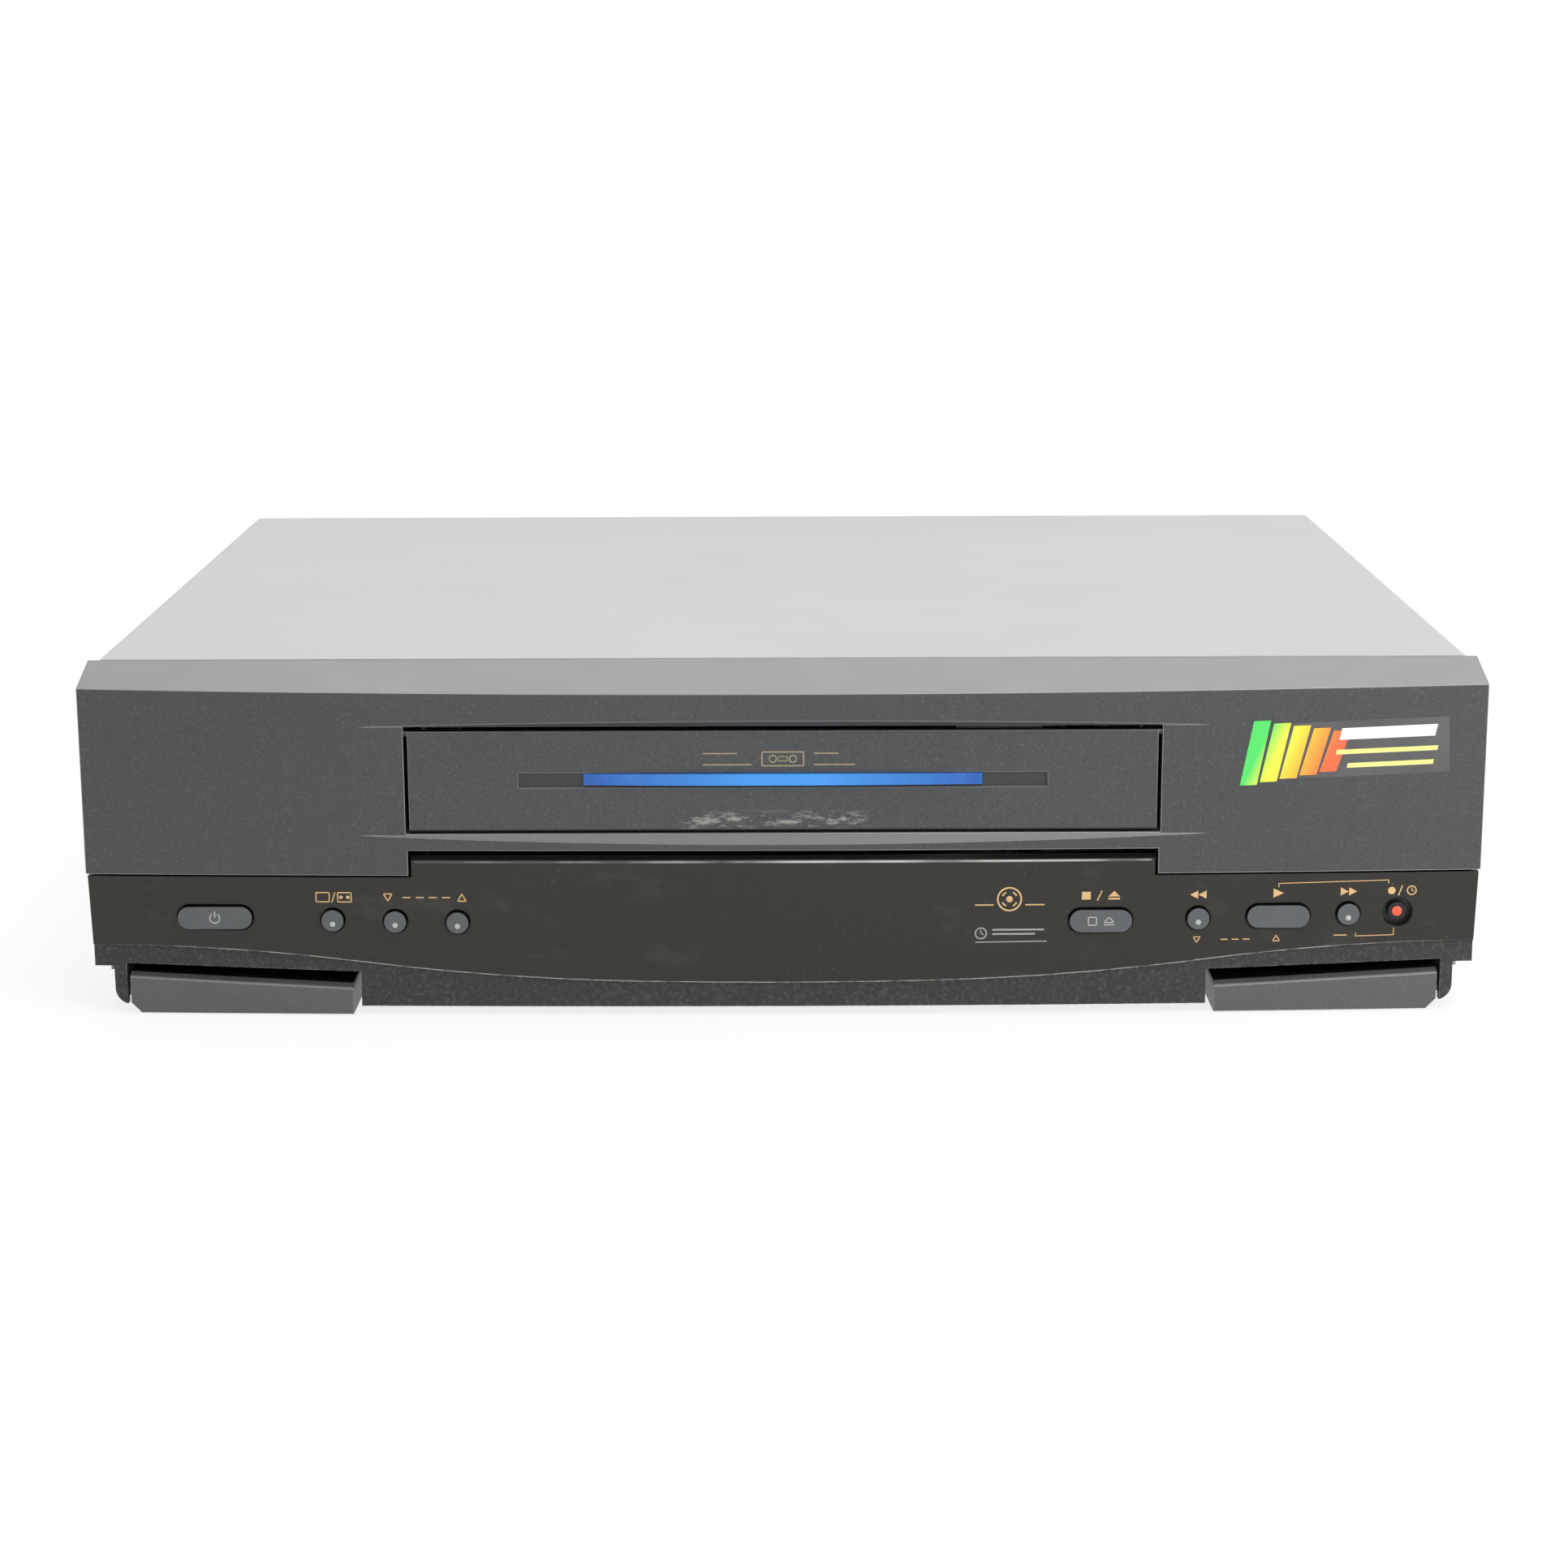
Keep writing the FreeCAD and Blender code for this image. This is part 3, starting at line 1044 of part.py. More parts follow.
for side in (-1, 1):
    cut(
        base_frame, "XZ", -dim.front_reach - 1, rebate_back,
        [
            (side * dim.rebate_inner, dim.skirt_bottom - 1),
            (side * dim.rebate_outer, dim.skirt_bottom - 1),
            (side * dim.rebate_outer, dim.rebate_top_outer),
            (side * dim.rebate_inner, dim.rebate_top_inner),
        ],
    )
web_inner = dim.rebate_inner - dim.foot_deck
web_outer = dim.rebate_outer + dim.foot_deck
for side in (-1, 1):
    pad(
        base_frame, "XZ", bow(web_inner, dim.skirt_setback), rebate_back + dim.foot_deck,
        [
            (side * web_inner, floor_level),
            (side * dim.rebate_inner, floor_level),
            (side * dim.rebate_inner, dim.rebate_top_inner),
            (side * dim.rebate_outer, dim.rebate_top_outer),
            (side * dim.rebate_outer, floor_level),
            (side * web_outer, floor_level),
            (side * web_outer, dim.rebate_top_outer + dim.foot_deck),
            (side * web_inner, dim.rebate_top_inner + dim.foot_deck),
        ],
    )
    pad(
        base_frame, "XZ", rebate_back, rebate_back + dim.foot_deck,
        [
            (side * web_inner, floor_level),
            (side * web_outer, floor_level),
            (side * web_outer, dim.rebate_top_outer + dim.foot_deck),
            (side * web_inner, dim.rebate_top_inner + dim.foot_deck),
        ],
    )
corner_x = dim.skirt_low_half_width
corner_top = dim.skirt_bottom + dim.skirt_corner
for side in (-1, 1):
    cut(
        base_frame, "XZ", -dim.front_reach - 1, seam + 1,
        [
            (side * (corner_x + 1), dim.skirt_bottom - 1),
            (side * (corner_x + 1), corner_top),
            (side * corner_x, corner_top),
            (side * (corner_x - dim.skirt_corner), dim.skirt_bottom, -side * dim.skirt_corner),
            (side * (corner_x - dim.skirt_corner), dim.skirt_bottom - 1),
        ],
    )
cut(
    base_frame, "XY", dim.skirt_bottom - 1, skirt_top + 1,
    *frame_round(
        bowed_block(dim.skirt_half_width + 1, dim.base_back + 1, dim.skirt_setback),
        -outer_edge, outer_edge, -dim.front_reach - beyond, dim.base_back + beyond,
    ),
)
deck_posts = [
    (side * dim.deck_post_x, y) for side in (-1, 1) for y in (-dim.deck_post_front, dim.deck_post_back)
]
board_bosses = [(0, -dim.board_boss_y), (0, dim.deck_post_back)] + [
    (side * dim.deck_post_x, y) for side in (-1, 1) for y in (-dim.board_boss_y, dim.rear_boss_y)
]
pad(
    base_frame, "XY", floor_level, dim.deck_level,
    *[square(x, y, dim.deck_post_half) for x, y in deck_posts],
)
pad(
    base_frame, "XY", floor_level, board_level,
    *[square(x, y, dim.board_boss_half) for x, y in board_bosses],
)

# Front feet: hollow blocks that follow the bow, with a bevelled upper front edge
foot_back = dim.foot_depth - dim.front_reach
foot_middle = (dim.foot_inner + dim.foot_outer) / 2
lug_y = foot_back - (dim.foot_hollow + dim.foot_wall) / 2
stem_run = (foot_middle - dim.foot_stem_half - dim.rebate_inner) / (dim.rebate_outer - dim.rebate_inner)
stem_top = dim.rebate_top_inner + (dim.rebate_top_outer - dim.rebate_top_inner) * stem_run
for side, name in ((-1, "front_foot_left"), (1, "front_foot_right")):
    foot = new_body(name)
    pad(
        foot, "XZ", -dim.front_reach - 1, foot_back,
        [
            (side * dim.foot_inner, dim.foot_ground),
            (side * (dim.foot_outer - dim.foot_corner), dim.foot_ground),
            (side * dim.foot_outer, dim.foot_ground + dim.foot_corner),
            (side * dim.foot_outer, dim.foot_top_outer),
            (side * dim.foot_inner, dim.foot_top_inner),
        ],
    )
    cut(
        foot, "XY", dim.foot_ground - 1, dim.foot_top_outer + 1,
        *frame_round(
            bowed_block(dim.panel_half_width, foot_back + 1, dim.foot_setback),
            -outer_edge, outer_edge, -dim.front_reach - beyond, foot_back + beyond,
        ),
    )
    soften(
        foot, "Chamfer", dim.foot_bevel,
        lambda edge: edge.BoundBox.ZMin > dim.foot_top_inner.value - 0.01
        and edge.Length > (dim.foot_outer - dim.foot_inner).value * 0.9
        and edge.BoundBox.YMax < (foot_back - dim.foot_depth / 2).value,
    )
    cut(
        foot, "XY", dim.foot_ground - 1, dim.foot_top_inner - dim.foot_wall,
        box(
            side * (dim.foot_inner + dim.foot_wall), side * (dim.foot_outer - dim.foot_wall),
            foot_back - dim.foot_hollow, foot_back - dim.foot_wall,
        ),
    )
    pad(
        foot, "XY", dim.foot_ground, dim.foot_top_inner - dim.foot_lug_drop,
        square(side * foot_middle, lug_y, dim.foot_lug_half),
    )
    pad(
        foot, "XY", dim.foot_top_inner - dim.foot_wall, stem_top,
        square(side * foot_middle, foot_back - 2 * dim.foot_stem_half, dim.foot_stem_half),
    )
    cut(
        foot, "XY", dim.foot_ground, dim.foot_ground + dim.pad_inset,
        square(side * foot_middle, lug_y, dim.pad_half + dim.small_gap),
    )

# Rubber pads: two set in the front feet, two thick ones under the back of the bottom plate
foot_pads = new_body("foot_pads")
pad(
    foot_pads, "XY", 0, dim.plate_level,
    *[square(side * dim.rear_foot_x, dim.rear_foot_y, dim.rear_foot_half) for side in (-1, 1)],
)
pad(
    foot_pads, "XY", 0, dim.foot_ground + dim.pad_inset,
    *[square(side * foot_middle, lug_y, dim.pad_half) for side in (-1, 1)],
)

# Steel top cover: a sheet bent down at both sides, with vent slots and two rear tabs
top_cover = new_body("top_cover")
cover_inner = dim.cover_half_width - dim.cover_sheet
cover_under = dim.case_top - dim.cover_sheet
pad(
    top_cover, "XZ", seam, dim.cover_reach,
    [
        (-dim.cover_half_width, dim.cover_bottom),
        (-cover_inner, dim.cover_bottom),
        (-cover_inner, cover_under - inner_bend),
        (-cover_inner + inner_bend, cover_under, -inner_bend),
        (cover_inner - inner_bend, cover_under),
        (cover_inner, cover_under - inner_bend, -inner_bend),
        (cover_inner, dim.cover_bottom),
        (dim.cover_half_width, dim.cover_bottom),
        (dim.cover_half_width, dim.case_top - dim.cover_bend),
        (dim.cover_half_width - dim.cover_bend, dim.case_top, dim.cover_bend),
        (-dim.cover_half_width + dim.cover_bend, dim.case_top),
        (-dim.cover_half_width, dim.case_top - dim.cover_bend, dim.cover_bend),
    ],
)
pad(
    top_cover, "XZ", dim.cover_reach - dim.cover_sheet, dim.cover_reach,
    *[
        box(
            side * dim.tab_x - dim.tab_half_width, side * dim.tab_x + dim.tab_half_width,
            dim.case_top - dim.tab_drop, cover_under + dim.cover_sheet / 2,
        )
        for side in (-1, 1)
    ],
)
vent = cut(
    top_cover, "YZ", -dim.cover_half_width - 1, dim.cover_half_width + 1,
    box(dim.vent_start, dim.vent_start + dim.vent_width, dim.vent_low, dim.vent_low + dim.vent_length),
)
row(top_cover, vent, "Y", dim.vent_pitch * (dim.vent_count - 1), dim.vent_count)

# Bottom plate: steel sheet under the base, with two rows of vent slots
bottom_plate = new_body("bottom_plate")
pad(
    bottom_plate, "XY", dim.plate_level, floor_level,
    box(-dim.plate_half_width, dim.plate_half_width, -dim.plate_front, dim.plate_back),
)
slots = cut(
    bottom_plate, "XY", dim.plate_level - 1, floor_level,
    *[
        box(
            side * dim.floor_vent_x - dim.floor_vent_half, side * dim.floor_vent_x + dim.floor_vent_half,
            dim.floor_vent_y, dim.floor_vent_y + dim.vent_width,
        )
        for side in (-1, 1)
    ],
)
row(bottom_plate, slots, "Y", dim.vent_pitch * (dim.floor_vent_count - 1), dim.floor_vent_count)


# Rear panel: plate with windows for the sockets and vent slots, and a corner left for the cord plate
rear_panel = new_body("rear_panel")
rear_out = dim.cover_reach - dim.cover_sheet
pad(rear_panel, "XZ", dim.base_back, rear_out, under_cover(floor_level))
antenna_places = [(-dim.antenna_x + step * dim.antenna_pitch, dim.antenna_height) for step in (0, 1)]
av_places = [
    (-dim.av_x + step_x * dim.av_pitch, dim.av_height + step_z * dim.av_pitch)
    for step_x in (0, 1) for step_z in (0, 1)
]
neck_end = rear_out + dim.neck_length
cord_plate_side = dim.gland_x - dim.cord_plate_inset
cord_plate_top = dim.gland_height + dim.cord_plate_rise
antenna_margin = dim.antenna_radius + dim.socket_gap
av_margin = dim.av_radius + dim.socket_gap
cut(
    rear_panel, "XZ", dim.base_back - 1, rear_out + 1,
    box(
        -dim.antenna_x - antenna_margin, -dim.antenna_x + dim.antenna_pitch + antenna_margin,
        dim.antenna_height - antenna_margin, dim.antenna_height + antenna_margin,
    ),
    box(
        -dim.av_x - av_margin, -dim.av_x + dim.av_pitch + av_margin,
        dim.av_height - av_margin, dim.av_height + dim.av_pitch + av_margin,
    ),
    box(cord_plate_side, tongue_half_width + 1, floor_level - 1, cord_plate_top),
)
rear_vent = cut(
    rear_panel, "XZ", dim.base_back - 1, rear_out + 1,
    box(
        dim.rear_vent_x, dim.rear_vent_x + dim.vent_width,
        dim.rear_vent_low, dim.rear_vent_low + dim.vent_length,
    ),
)
row(rear_panel, rear_vent, "X", dim.vent_pitch * (dim.rear_vent_count - 1), dim.rear_vent_count)

# Cord plate: the rear panel's lower right corner, with the square hole for the gland
cord_plate = new_body("cord_plate")
pad(
    cord_plate, "XZ", dim.base_back, rear_out,
    box(cord_plate_side + dim.small_gap, tongue_half_width, floor_level, cord_plate_top - dim.small_gap),
)
cut(
    cord_plate, "XZ", dim.base_back - 1, rear_out + 1,
    square(dim.gland_x, dim.gland_height, dim.gland_half),
)

# Cord gland: square bush in the cord plate with a lip outside, bored for the cord
cord_gland = new_body("cord_gland", dim.gland_x, rear_out, dim.gland_height)
pad(
    cord_gland, "XZ", dim.base_back - rear_out - dim.gland_inside, 0,
    square(0, 0, dim.gland_half - dim.running_gap),
)
pad(cord_gland, "XZ", 0, dim.gland_outside, square(0, 0, dim.gland_half + dim.gland_lip))
cut(
    cord_gland, "XZ", dim.base_back - rear_out - dim.gland_inside, dim.gland_outside,
    Disc(0, 0, dim.cord_bore),
)

# Main board with holes for the deck's posts
main_board = new_body("main_board")
pad(
    main_board, "XY", board_level, board_top,
    box(-dim.board_half_width, dim.board_half_width, -dim.board_front, dim.board_back),
)
cut(
    main_board, "XY", board_level - 1, board_top,
    *[
        square(side * dim.deck_post_x, dim.deck_post_back, dim.deck_post_half + dim.post_gap)
        for side in (-1, 1)
    ],
)

# Board parts: block capacitors and two chips on the main board
board_parts = new_body("board_parts")
pad(
    board_parts, "XY", board_top, board_top + dim.capacitor_height,
    *[
        square(dim.capacitor_x + step * dim.capacitor_pitch, dim.capacitor_y, dim.capacitor_half)
        for step in range(3)
    ],
)
pad(
    board_parts, "XY", board_top, board_top + dim.chip_height,
    *[square(-dim.chip_x, y, dim.chip_half) for y in (dim.chip_y, dim.chip_y + dim.chip_pitch)],
)

# Tuner: tin can with two antenna sockets that pass through the rear panel
tuner_can = new_body("tuner_can")
pad(
    tuner_can, "XY", board_top, board_top + dim.tuner_height,
    box(
        -dim.antenna_x - dim.tuner_side, -dim.antenna_x + dim.antenna_pitch + dim.tuner_side,
        dim.base_back - dim.tuner_depth, dim.base_back,
    ),
)
pad(
    tuner_can, "XZ", dim.base_back, neck_end,
    *[square(x, z, dim.antenna_neck_half) for x, z in antenna_places],
)
pad(
    tuner_can, "XZ", neck_end, dim.jack_reach,
    *[Disc(x, z, dim.antenna_radius) for x, z in antenna_places],
)
cut(
    tuner_can, "XZ", dim.jack_reach - dim.socket_depth, dim.jack_reach + 1,
    *[Disc(x, z, dim.antenna_bore) for x, z in antenna_places],
)

# Audio and video sockets: four phono sockets on one block
av_jacks = new_body("av_jacks")
pad(
    av_jacks, "XY", board_top, dim.av_height + dim.av_pitch + dim.av_side,
    box(
        -dim.av_x - dim.av_side, -dim.av_x + dim.av_pitch + dim.av_side,
        dim.base_back - dim.av_depth, dim.base_back,
    ),
)
pad(
    av_jacks, "XZ", dim.base_back, neck_end,
    *[square(x, z, dim.av_neck_half) for x, z in av_places],
)
pad(av_jacks, "XZ", neck_end, dim.av_reach, *[Disc(x, z, dim.av_radius) for x, z in av_places])

# Switching transformer: a core with two windows, and the winding on its middle limb
power_transformer = new_body("power_transformer", dim.transformer_x, dim.transformer_y, board_top)
core_half = dim.core_width / 2
limb = dim.core_width / 6
pad(
    power_transformer, "XZ", -dim.core_depth / 2, dim.core_depth / 2,
    box(-core_half, core_half, 0, dim.core_height),
)
pad(
    power_transformer, "XZ", -dim.winding_depth / 2, dim.winding_depth / 2,
    box(-core_half + limb, core_half - limb, limb, dim.core_height - limb),
)

# Heat sink: upright plate with fins
heat_sink = new_body("heat_sink", dim.sink_x, dim.sink_y, board_top)
pad(heat_sink, "XY", 0, dim.sink_height, box(0, dim.sink_plate, 0, dim.sink_length))
fin = pad(
    heat_sink, "XY", 0, dim.sink_height,
    box(dim.sink_plate, dim.sink_plate + dim.fin_reach, 0, dim.fin_sheet),
)
row(heat_sink, fin, "Y", dim.sink_length - dim.fin_sheet, dim.fin_count)

# Key board behind the dark panel, its switches and the display tube
key_board = new_body("key_board")
pad(
    key_board, "XZ", key_board_front, key_board_back,
    box(-dim.key_board_half_width, dim.key_board_half_width, dim.key_board_bottom, dim.key_board_top),
)


class Key:
    """A button's name, place across the front, half length between its round ends, radius and hole."""

    def __init__(self, name, x, half_length, radius, margin=dim.key_gap, proud=dim.key_proud):
        self.name = name
        self.margin = margin
        self.proud = proud
        self.x = as_size(x)
        self.half_length = as_size(half_length)
        self.radius = as_size(radius)
        self.height = dim.key_row_height + self.x * self.x * dim.key_row_climb / (dim.record_x * dim.record_x)
        self.face = bow(self.x, dim.control_setback)
        self.flange_up = self.radius + margin + dim.key_flange
        self.flange_along = self.half_length + self.flange_up
        end = self.x + self.flange_along if self.x.value > 0 else self.x - self.flange_along
        self.inner_wall = bow(end, dim.control_setback) + dim.moulding_wall

    def outline(self, x, height, margin=0):
        """The key's outline about a point, larger all round by the margin."""
        radius = self.radius + margin
        if self.half_length.value == 0:
            return Disc(x, height, radius)
        return Belt(x - self.half_length, height, radius, x + self.half_length, height, radius)


pill_end = dim.key_pill_radius
keys = [
    Key("power_button", -dim.power_x, dim.power_half_length, pill_end),
    Key("source_button", -dim.source_x, 0, dim.key_round_radius),
    Key("channel_down_button", -dim.channel_down_x, 0, dim.key_round_radius),
    Key("channel_up_button", -dim.channel_up_x, 0, dim.key_round_radius),
    Key("stop_eject_button", dim.stop_x, dim.stop_half_length, pill_end),
    Key("rewind_button", dim.rewind_x, 0, dim.key_round_radius),
    Key("play_button", dim.play_x, dim.stop_half_length, pill_end),
    Key("fast_forward_button", dim.forward_x, 0, dim.key_round_radius),
    Key("record_button", dim.record_x, 0, dim.record_radius, dim.record_well, -dim.record_sunk),
]
switch_face = key_board_front - dim.switch_depth
for key in keys:
    cut(
        control_panel, "XZ", -dim.front_reach - 1, key.inner_wall + 1,
        key.outline(key.x, key.height, key.margin),
    )
    button = new_body(key.name, key.x, key.face, key.height)
    flange = key.inner_wall - key.face + dim.small_gap
    stem_end = switch_face - key.face - dim.key_travel - dim.small_gap
    pad(button, "XZ", -key.proud, flange, key.outline(0, 0))
    pad(
        button, "XZ", flange, flange + dim.key_flange_depth,
        box(-key.flange_along, key.flange_along, -key.flange_up, key.flange_up),
    )
    pad(button, "XZ", flange + dim.key_flange_depth, stem_end, square(0, 0, dim.key_stem_half))

key_switches = new_body("key_switches")
pad(
    key_switches, "XZ", switch_face, key_board_front,
    *[square(key.x, key.height, dim.switch_half) for key in keys],
)
display_tube = new_body("display_tube")
pad(
    display_tube, "XZ", key_board_front - dim.tube_depth, key_board_front,
    box(-dim.tube_half_width, dim.tube_half_width, dim.tube_bottom, dim.tube_bottom + dim.tube_height),
)
soften(
    display_tube, "Chamfer", dim.tube_bevel,
    lambda edge: edge.BoundBox.YMax < (key_board_front - dim.tube_depth).value + 0.01,
)


# Levels and places that the deck's pieces share
deck_top = dim.deck_level + dim.deck_sheet
reel_y = -dim.reel_reach
stud_hole = dim.stud_radius + dim.running_gap
pin_bore = dim.roller_pin + dim.running_gap


class Run:
    """A straight run on the deck: its start, its length and its direction."""

    def __init__(self, start_x, start_y, end_x, end_y):
        self.start_x = as_size(start_x)
        self.start_y = as_size(start_y)
        step_x = end_x - self.start_x
        step_y = end_y - self.start_y
        self.length = root(step_x * step_x + step_y * step_y)
        self.along_x = step_x / self.length
        self.along_y = step_y / self.length

    def place(self, x, y, along, sideways):
        """A point so far along the run and to its left, counted from x and y."""
        return (
            x + along * self.along_x - sideways * self.along_y,
            y + along * self.along_y + sideways * self.along_x,
        )

    def strip(self, x, y, low, high, half):
        """A rectangle along the run."""
        corners = ((low, -half), (high, -half), (high, half), (low, half))
        return [self.place(x, y, along, sideways) for along, sideways in corners]

    def strap(self, half):
        """A flat arm over the whole run, counted from its start, with bevelled ends."""
        corners = (
            (-half, -half / 2), (0, -half), (self.length, -half), (self.length + half, -half / 2),
            (self.length + half, half / 2), (self.length, half), (0, half), (-half, half / 2),
        )
        return [self.place(0, 0, along, sideways) for along, sideways in corners]


supply_run = Run(-dim.supply_start_x, -dim.guide_start_reach, -dim.supply_end_x, dim.supply_end_y)
takeup_run = Run(dim.takeup_start_x, -dim.guide_start_reach, dim.takeup_end_x, dim.takeup_end_y)

# Deck plate: steel sheet with the guides' slots, the capstan's bearing hole and the studs
deck_plate = new_body("deck_plate")
pad(
    deck_plate, "XY", dim.deck_level, deck_top,
    box(-dim.deck_half_width, dim.deck_half_width, -dim.deck_front, dim.deck_back),
)
tongue_end = dim.tongue_half_length + dim.running_gap
cut(
    deck_plate, "XY", dim.deck_level - 1, deck_top,
    *[
        run.strip(
            run.start_x, run.start_y, -tongue_end, run.length + tongue_end,
            dim.guide_tongue_half + dim.running_gap,
        )
        for run in (supply_run, takeup_run)
    ],
    Disc(dim.capstan_x, -dim.capstan_reach, dim.capstan_radius + dim.running_gap),
)
pad(
    deck_plate, "XY", deck_top, deck_top + dim.reel_stud,
    *[Disc(side * dim.reel_x, reel_y, dim.stud_radius) for side in (-1, 1)],
)
pad(
    deck_plate, "XY", deck_top, deck_top + dim.arm_stud,
    Disc(dim.pinch_pivot_x, dim.pinch_pivot_y, dim.stud_radius),
)
pad(
    deck_plate, "XY", deck_top, deck_top + dim.cam_rise + dim.gear_face,
    Disc(dim.cam_x, dim.cam_y, dim.stud_radius),
)

# Lower drum: a square foot on the deck that carries the tilted fixed drum and its spindle
lower_drum = new_body("lower_drum", -dim.drum_x, dim.drum_y, dim.drum_height)
pad(lower_drum, "XY", deck_top - dim.drum_height, -dim.drum_lower / 2, square(0, 0, dim.drum_seat))
half_gap = dim.drum_gap / 2
spindle_top = dim.drum_upper - dim.drum_cap
turn(
    lower_drum,
    [
        (0, -dim.drum_lower),
        (dim.drum_radius, -dim.drum_lower),
        (dim.drum_radius, -half_gap),
        (dim.drum_shaft, -half_gap),
        (dim.drum_shaft, spindle_top),
        (0, spindle_top),
    ],
    tilt=dim.drum_tilt,
)

# Upper drum: turns on the spindle, with the head windows in its lower edge
upper_drum = new_body("upper_drum", -dim.drum_x, dim.drum_y, dim.drum_height)
lean(upper_drum, dim.drum_tilt, 1, 0, 0)
turn(
    upper_drum,
    [
        (dim.drum_shaft + dim.running_gap, half_gap),
        (dim.drum_radius, half_gap),
        (dim.drum_radius, dim.drum_upper),
        (0, dim.drum_upper),
        (0, spindle_top + dim.small_gap),
        (dim.drum_shaft + dim.running_gap, spindle_top + dim.small_gap),
    ],
)
head_window = cut(
    upper_drum, "XY", half_gap - 1, half_gap + dim.head_window_height,
    box(dim.drum_radius - dim.head_window_depth, dim.drum_radius + 1, -dim.head_window, dim.head_window),
)
ring(upper_drum, head_window, "Z", dim.head_window_count)

# Full-erase head, and the audio and control head: a block on a post with a foot
for name, head_x, head_y, lift, half in (
    ("erase_head", -dim.erase_x, dim.erase_y, dim.erase_lift, dim.erase_half),
    ("audio_head", dim.audio_x, dim.audio_y, dim.audio_lift, dim.audio_half),
):
    head = new_body(name, head_x, head_y, deck_top)
    pad(head, "XY", 0, dim.head_foot, square(0, 0, half))
    pad(head, "XY", dim.head_foot, lift, square(0, 0, dim.head_post_half))
    pad(head, "XY", lift, lift + dim.head_height, square(0, 0, half))

# Capstan: shaft through the deck with its flywheel below
capstan = new_body("capstan", dim.capstan_x, -dim.capstan_reach, dim.deck_level)
turn(
    capstan,
    [
        (0, -dim.flywheel_gap - dim.flywheel_height),
        (dim.flywheel_radius, -dim.flywheel_gap - dim.flywheel_height),
        (dim.flywheel_radius, -dim.flywheel_gap),
        (dim.capstan_radius, -dim.flywheel_gap),
        (dim.capstan_radius, dim.capstan_height),
        (0, dim.capstan_height),
    ],
)

# Reel tables: flange and splined spindle, bored for the deck's studs
for side, name in ((-1, "supply_reel"), (1, "takeup_reel")):
    reel = new_body(name, side * dim.reel_x, reel_y, deck_top + dim.reel_lift)
    turn(
        reel,
        [
            (stud_hole, 0),
            (dim.reel_radius, 0),
            (dim.reel_radius, dim.reel_flange),
            (dim.spindle_radius, dim.reel_flange),
            (dim.spindle_radius, dim.spindle_height),
            (0, dim.spindle_height),
            (0, dim.reel_stud),
            (stud_hole, dim.reel_stud),
        ],
    )
    spline = pad(
        reel, "XY", dim.reel_flange, dim.spindle_height - dim.spline_drop,
        box(dim.spindle_radius - dim.spline_root, dim.spline_reach, -dim.spline_half, dim.spline_half),
    )
    ring(reel, spline, "Z", dim.spline_count)

# Tape guides: each a block on the deck, a tongue in the deck's slot and an upright roller
for name, run in (("supply_guide", supply_run), ("takeup_guide", takeup_run)):
    guide = new_body(name, run.start_x, run.start_y, deck_top)
    block_top = dim.guide_lift + dim.guide_base
    pad(
        guide, "XY", dim.guide_lift, block_top,
        run.strip(0, 0, -dim.guide_half_length, dim.guide_half_length, dim.guide_half_width),
    )
    pad(
        guide, "XY", -dim.deck_sheet, dim.guide_lift,
        run.strip(0, 0, -dim.tongue_half_length, dim.tongue_half_length, dim.guide_tongue_half),
    )
    pad(guide, "XY", block_top, dim.guide_height, Disc(0, 0, dim.roller_radius))

# Pinch arm and its rubber roller
arm_low = deck_top + dim.arm_lift
pinch_run = Run(dim.pinch_pivot_x, dim.pinch_pivot_y, dim.pinch_x, -dim.pinch_reach)
pinch_arm = new_body("pinch_arm", dim.pinch_pivot_x, dim.pinch_pivot_y, arm_low)
pad(pinch_arm, "XY", 0, dim.arm_sheet, pinch_run.strap(dim.arm_half_width), Disc(0, 0, stud_hole))
pad(
    pinch_arm, "XY", dim.arm_sheet, dim.arm_sheet + 2 * dim.arm_gap + dim.pinch_height,
    Disc(dim.pinch_x - dim.pinch_pivot_x, -dim.pinch_reach - dim.pinch_pivot_y, dim.roller_pin),
)
pinch_roller = new_body(
    "pinch_roller", dim.pinch_x, -dim.pinch_reach, arm_low + dim.arm_sheet + dim.arm_gap,
)
pad(pinch_roller, "XY", 0, dim.pinch_height, Disc(0, 0, dim.pinch_radius), Disc(0, 0, pin_bore))


def involute(pitch, radius):
    """How far an involute flank has turned inwards at a radius, in degrees past the pitch point."""
    at_radius = arc_cosine(pitch * cosine(dim.pressure_angle) / radius)
    turned = (tangent(at_radius) - tangent(dim.pressure_angle)) * (180 / math.pi)
    return turned - at_radius + dim.pressure_angle


def tooth(teeth):
    """One gear tooth along the X direction. Its flanks are chords of the involute."""
    pitch = teeth * dim.gear_module / 2
    tip = pitch + dim.gear_module * dim.tip_share
    foot = gear_root(teeth) - dim.tooth_sink
    base = pitch * cosine(dim.pressure_angle) + dim.tooth_sink
    half = 90 / teeth - dim.tooth_slack / pitch * (90 / math.pi)
    wide = half - involute(pitch, base if base.value > foot.value else foot)
    flank = [(foot, wide), (pitch, half), (tip, half - involute(pitch, tip))]
    lower = [(radius * cosine(-angle), radius * sine(-angle)) for radius, angle in flank]
    upper = [(radius * cosine(angle), radius * sine(angle)) for radius, angle in reversed(flank)]
    return lower + upper


def gear_root(teeth):
    """Radius at the bottom of a gear's gaps."""
    return teeth * dim.gear_module / 2 - dim.gear_module * dim.root_share


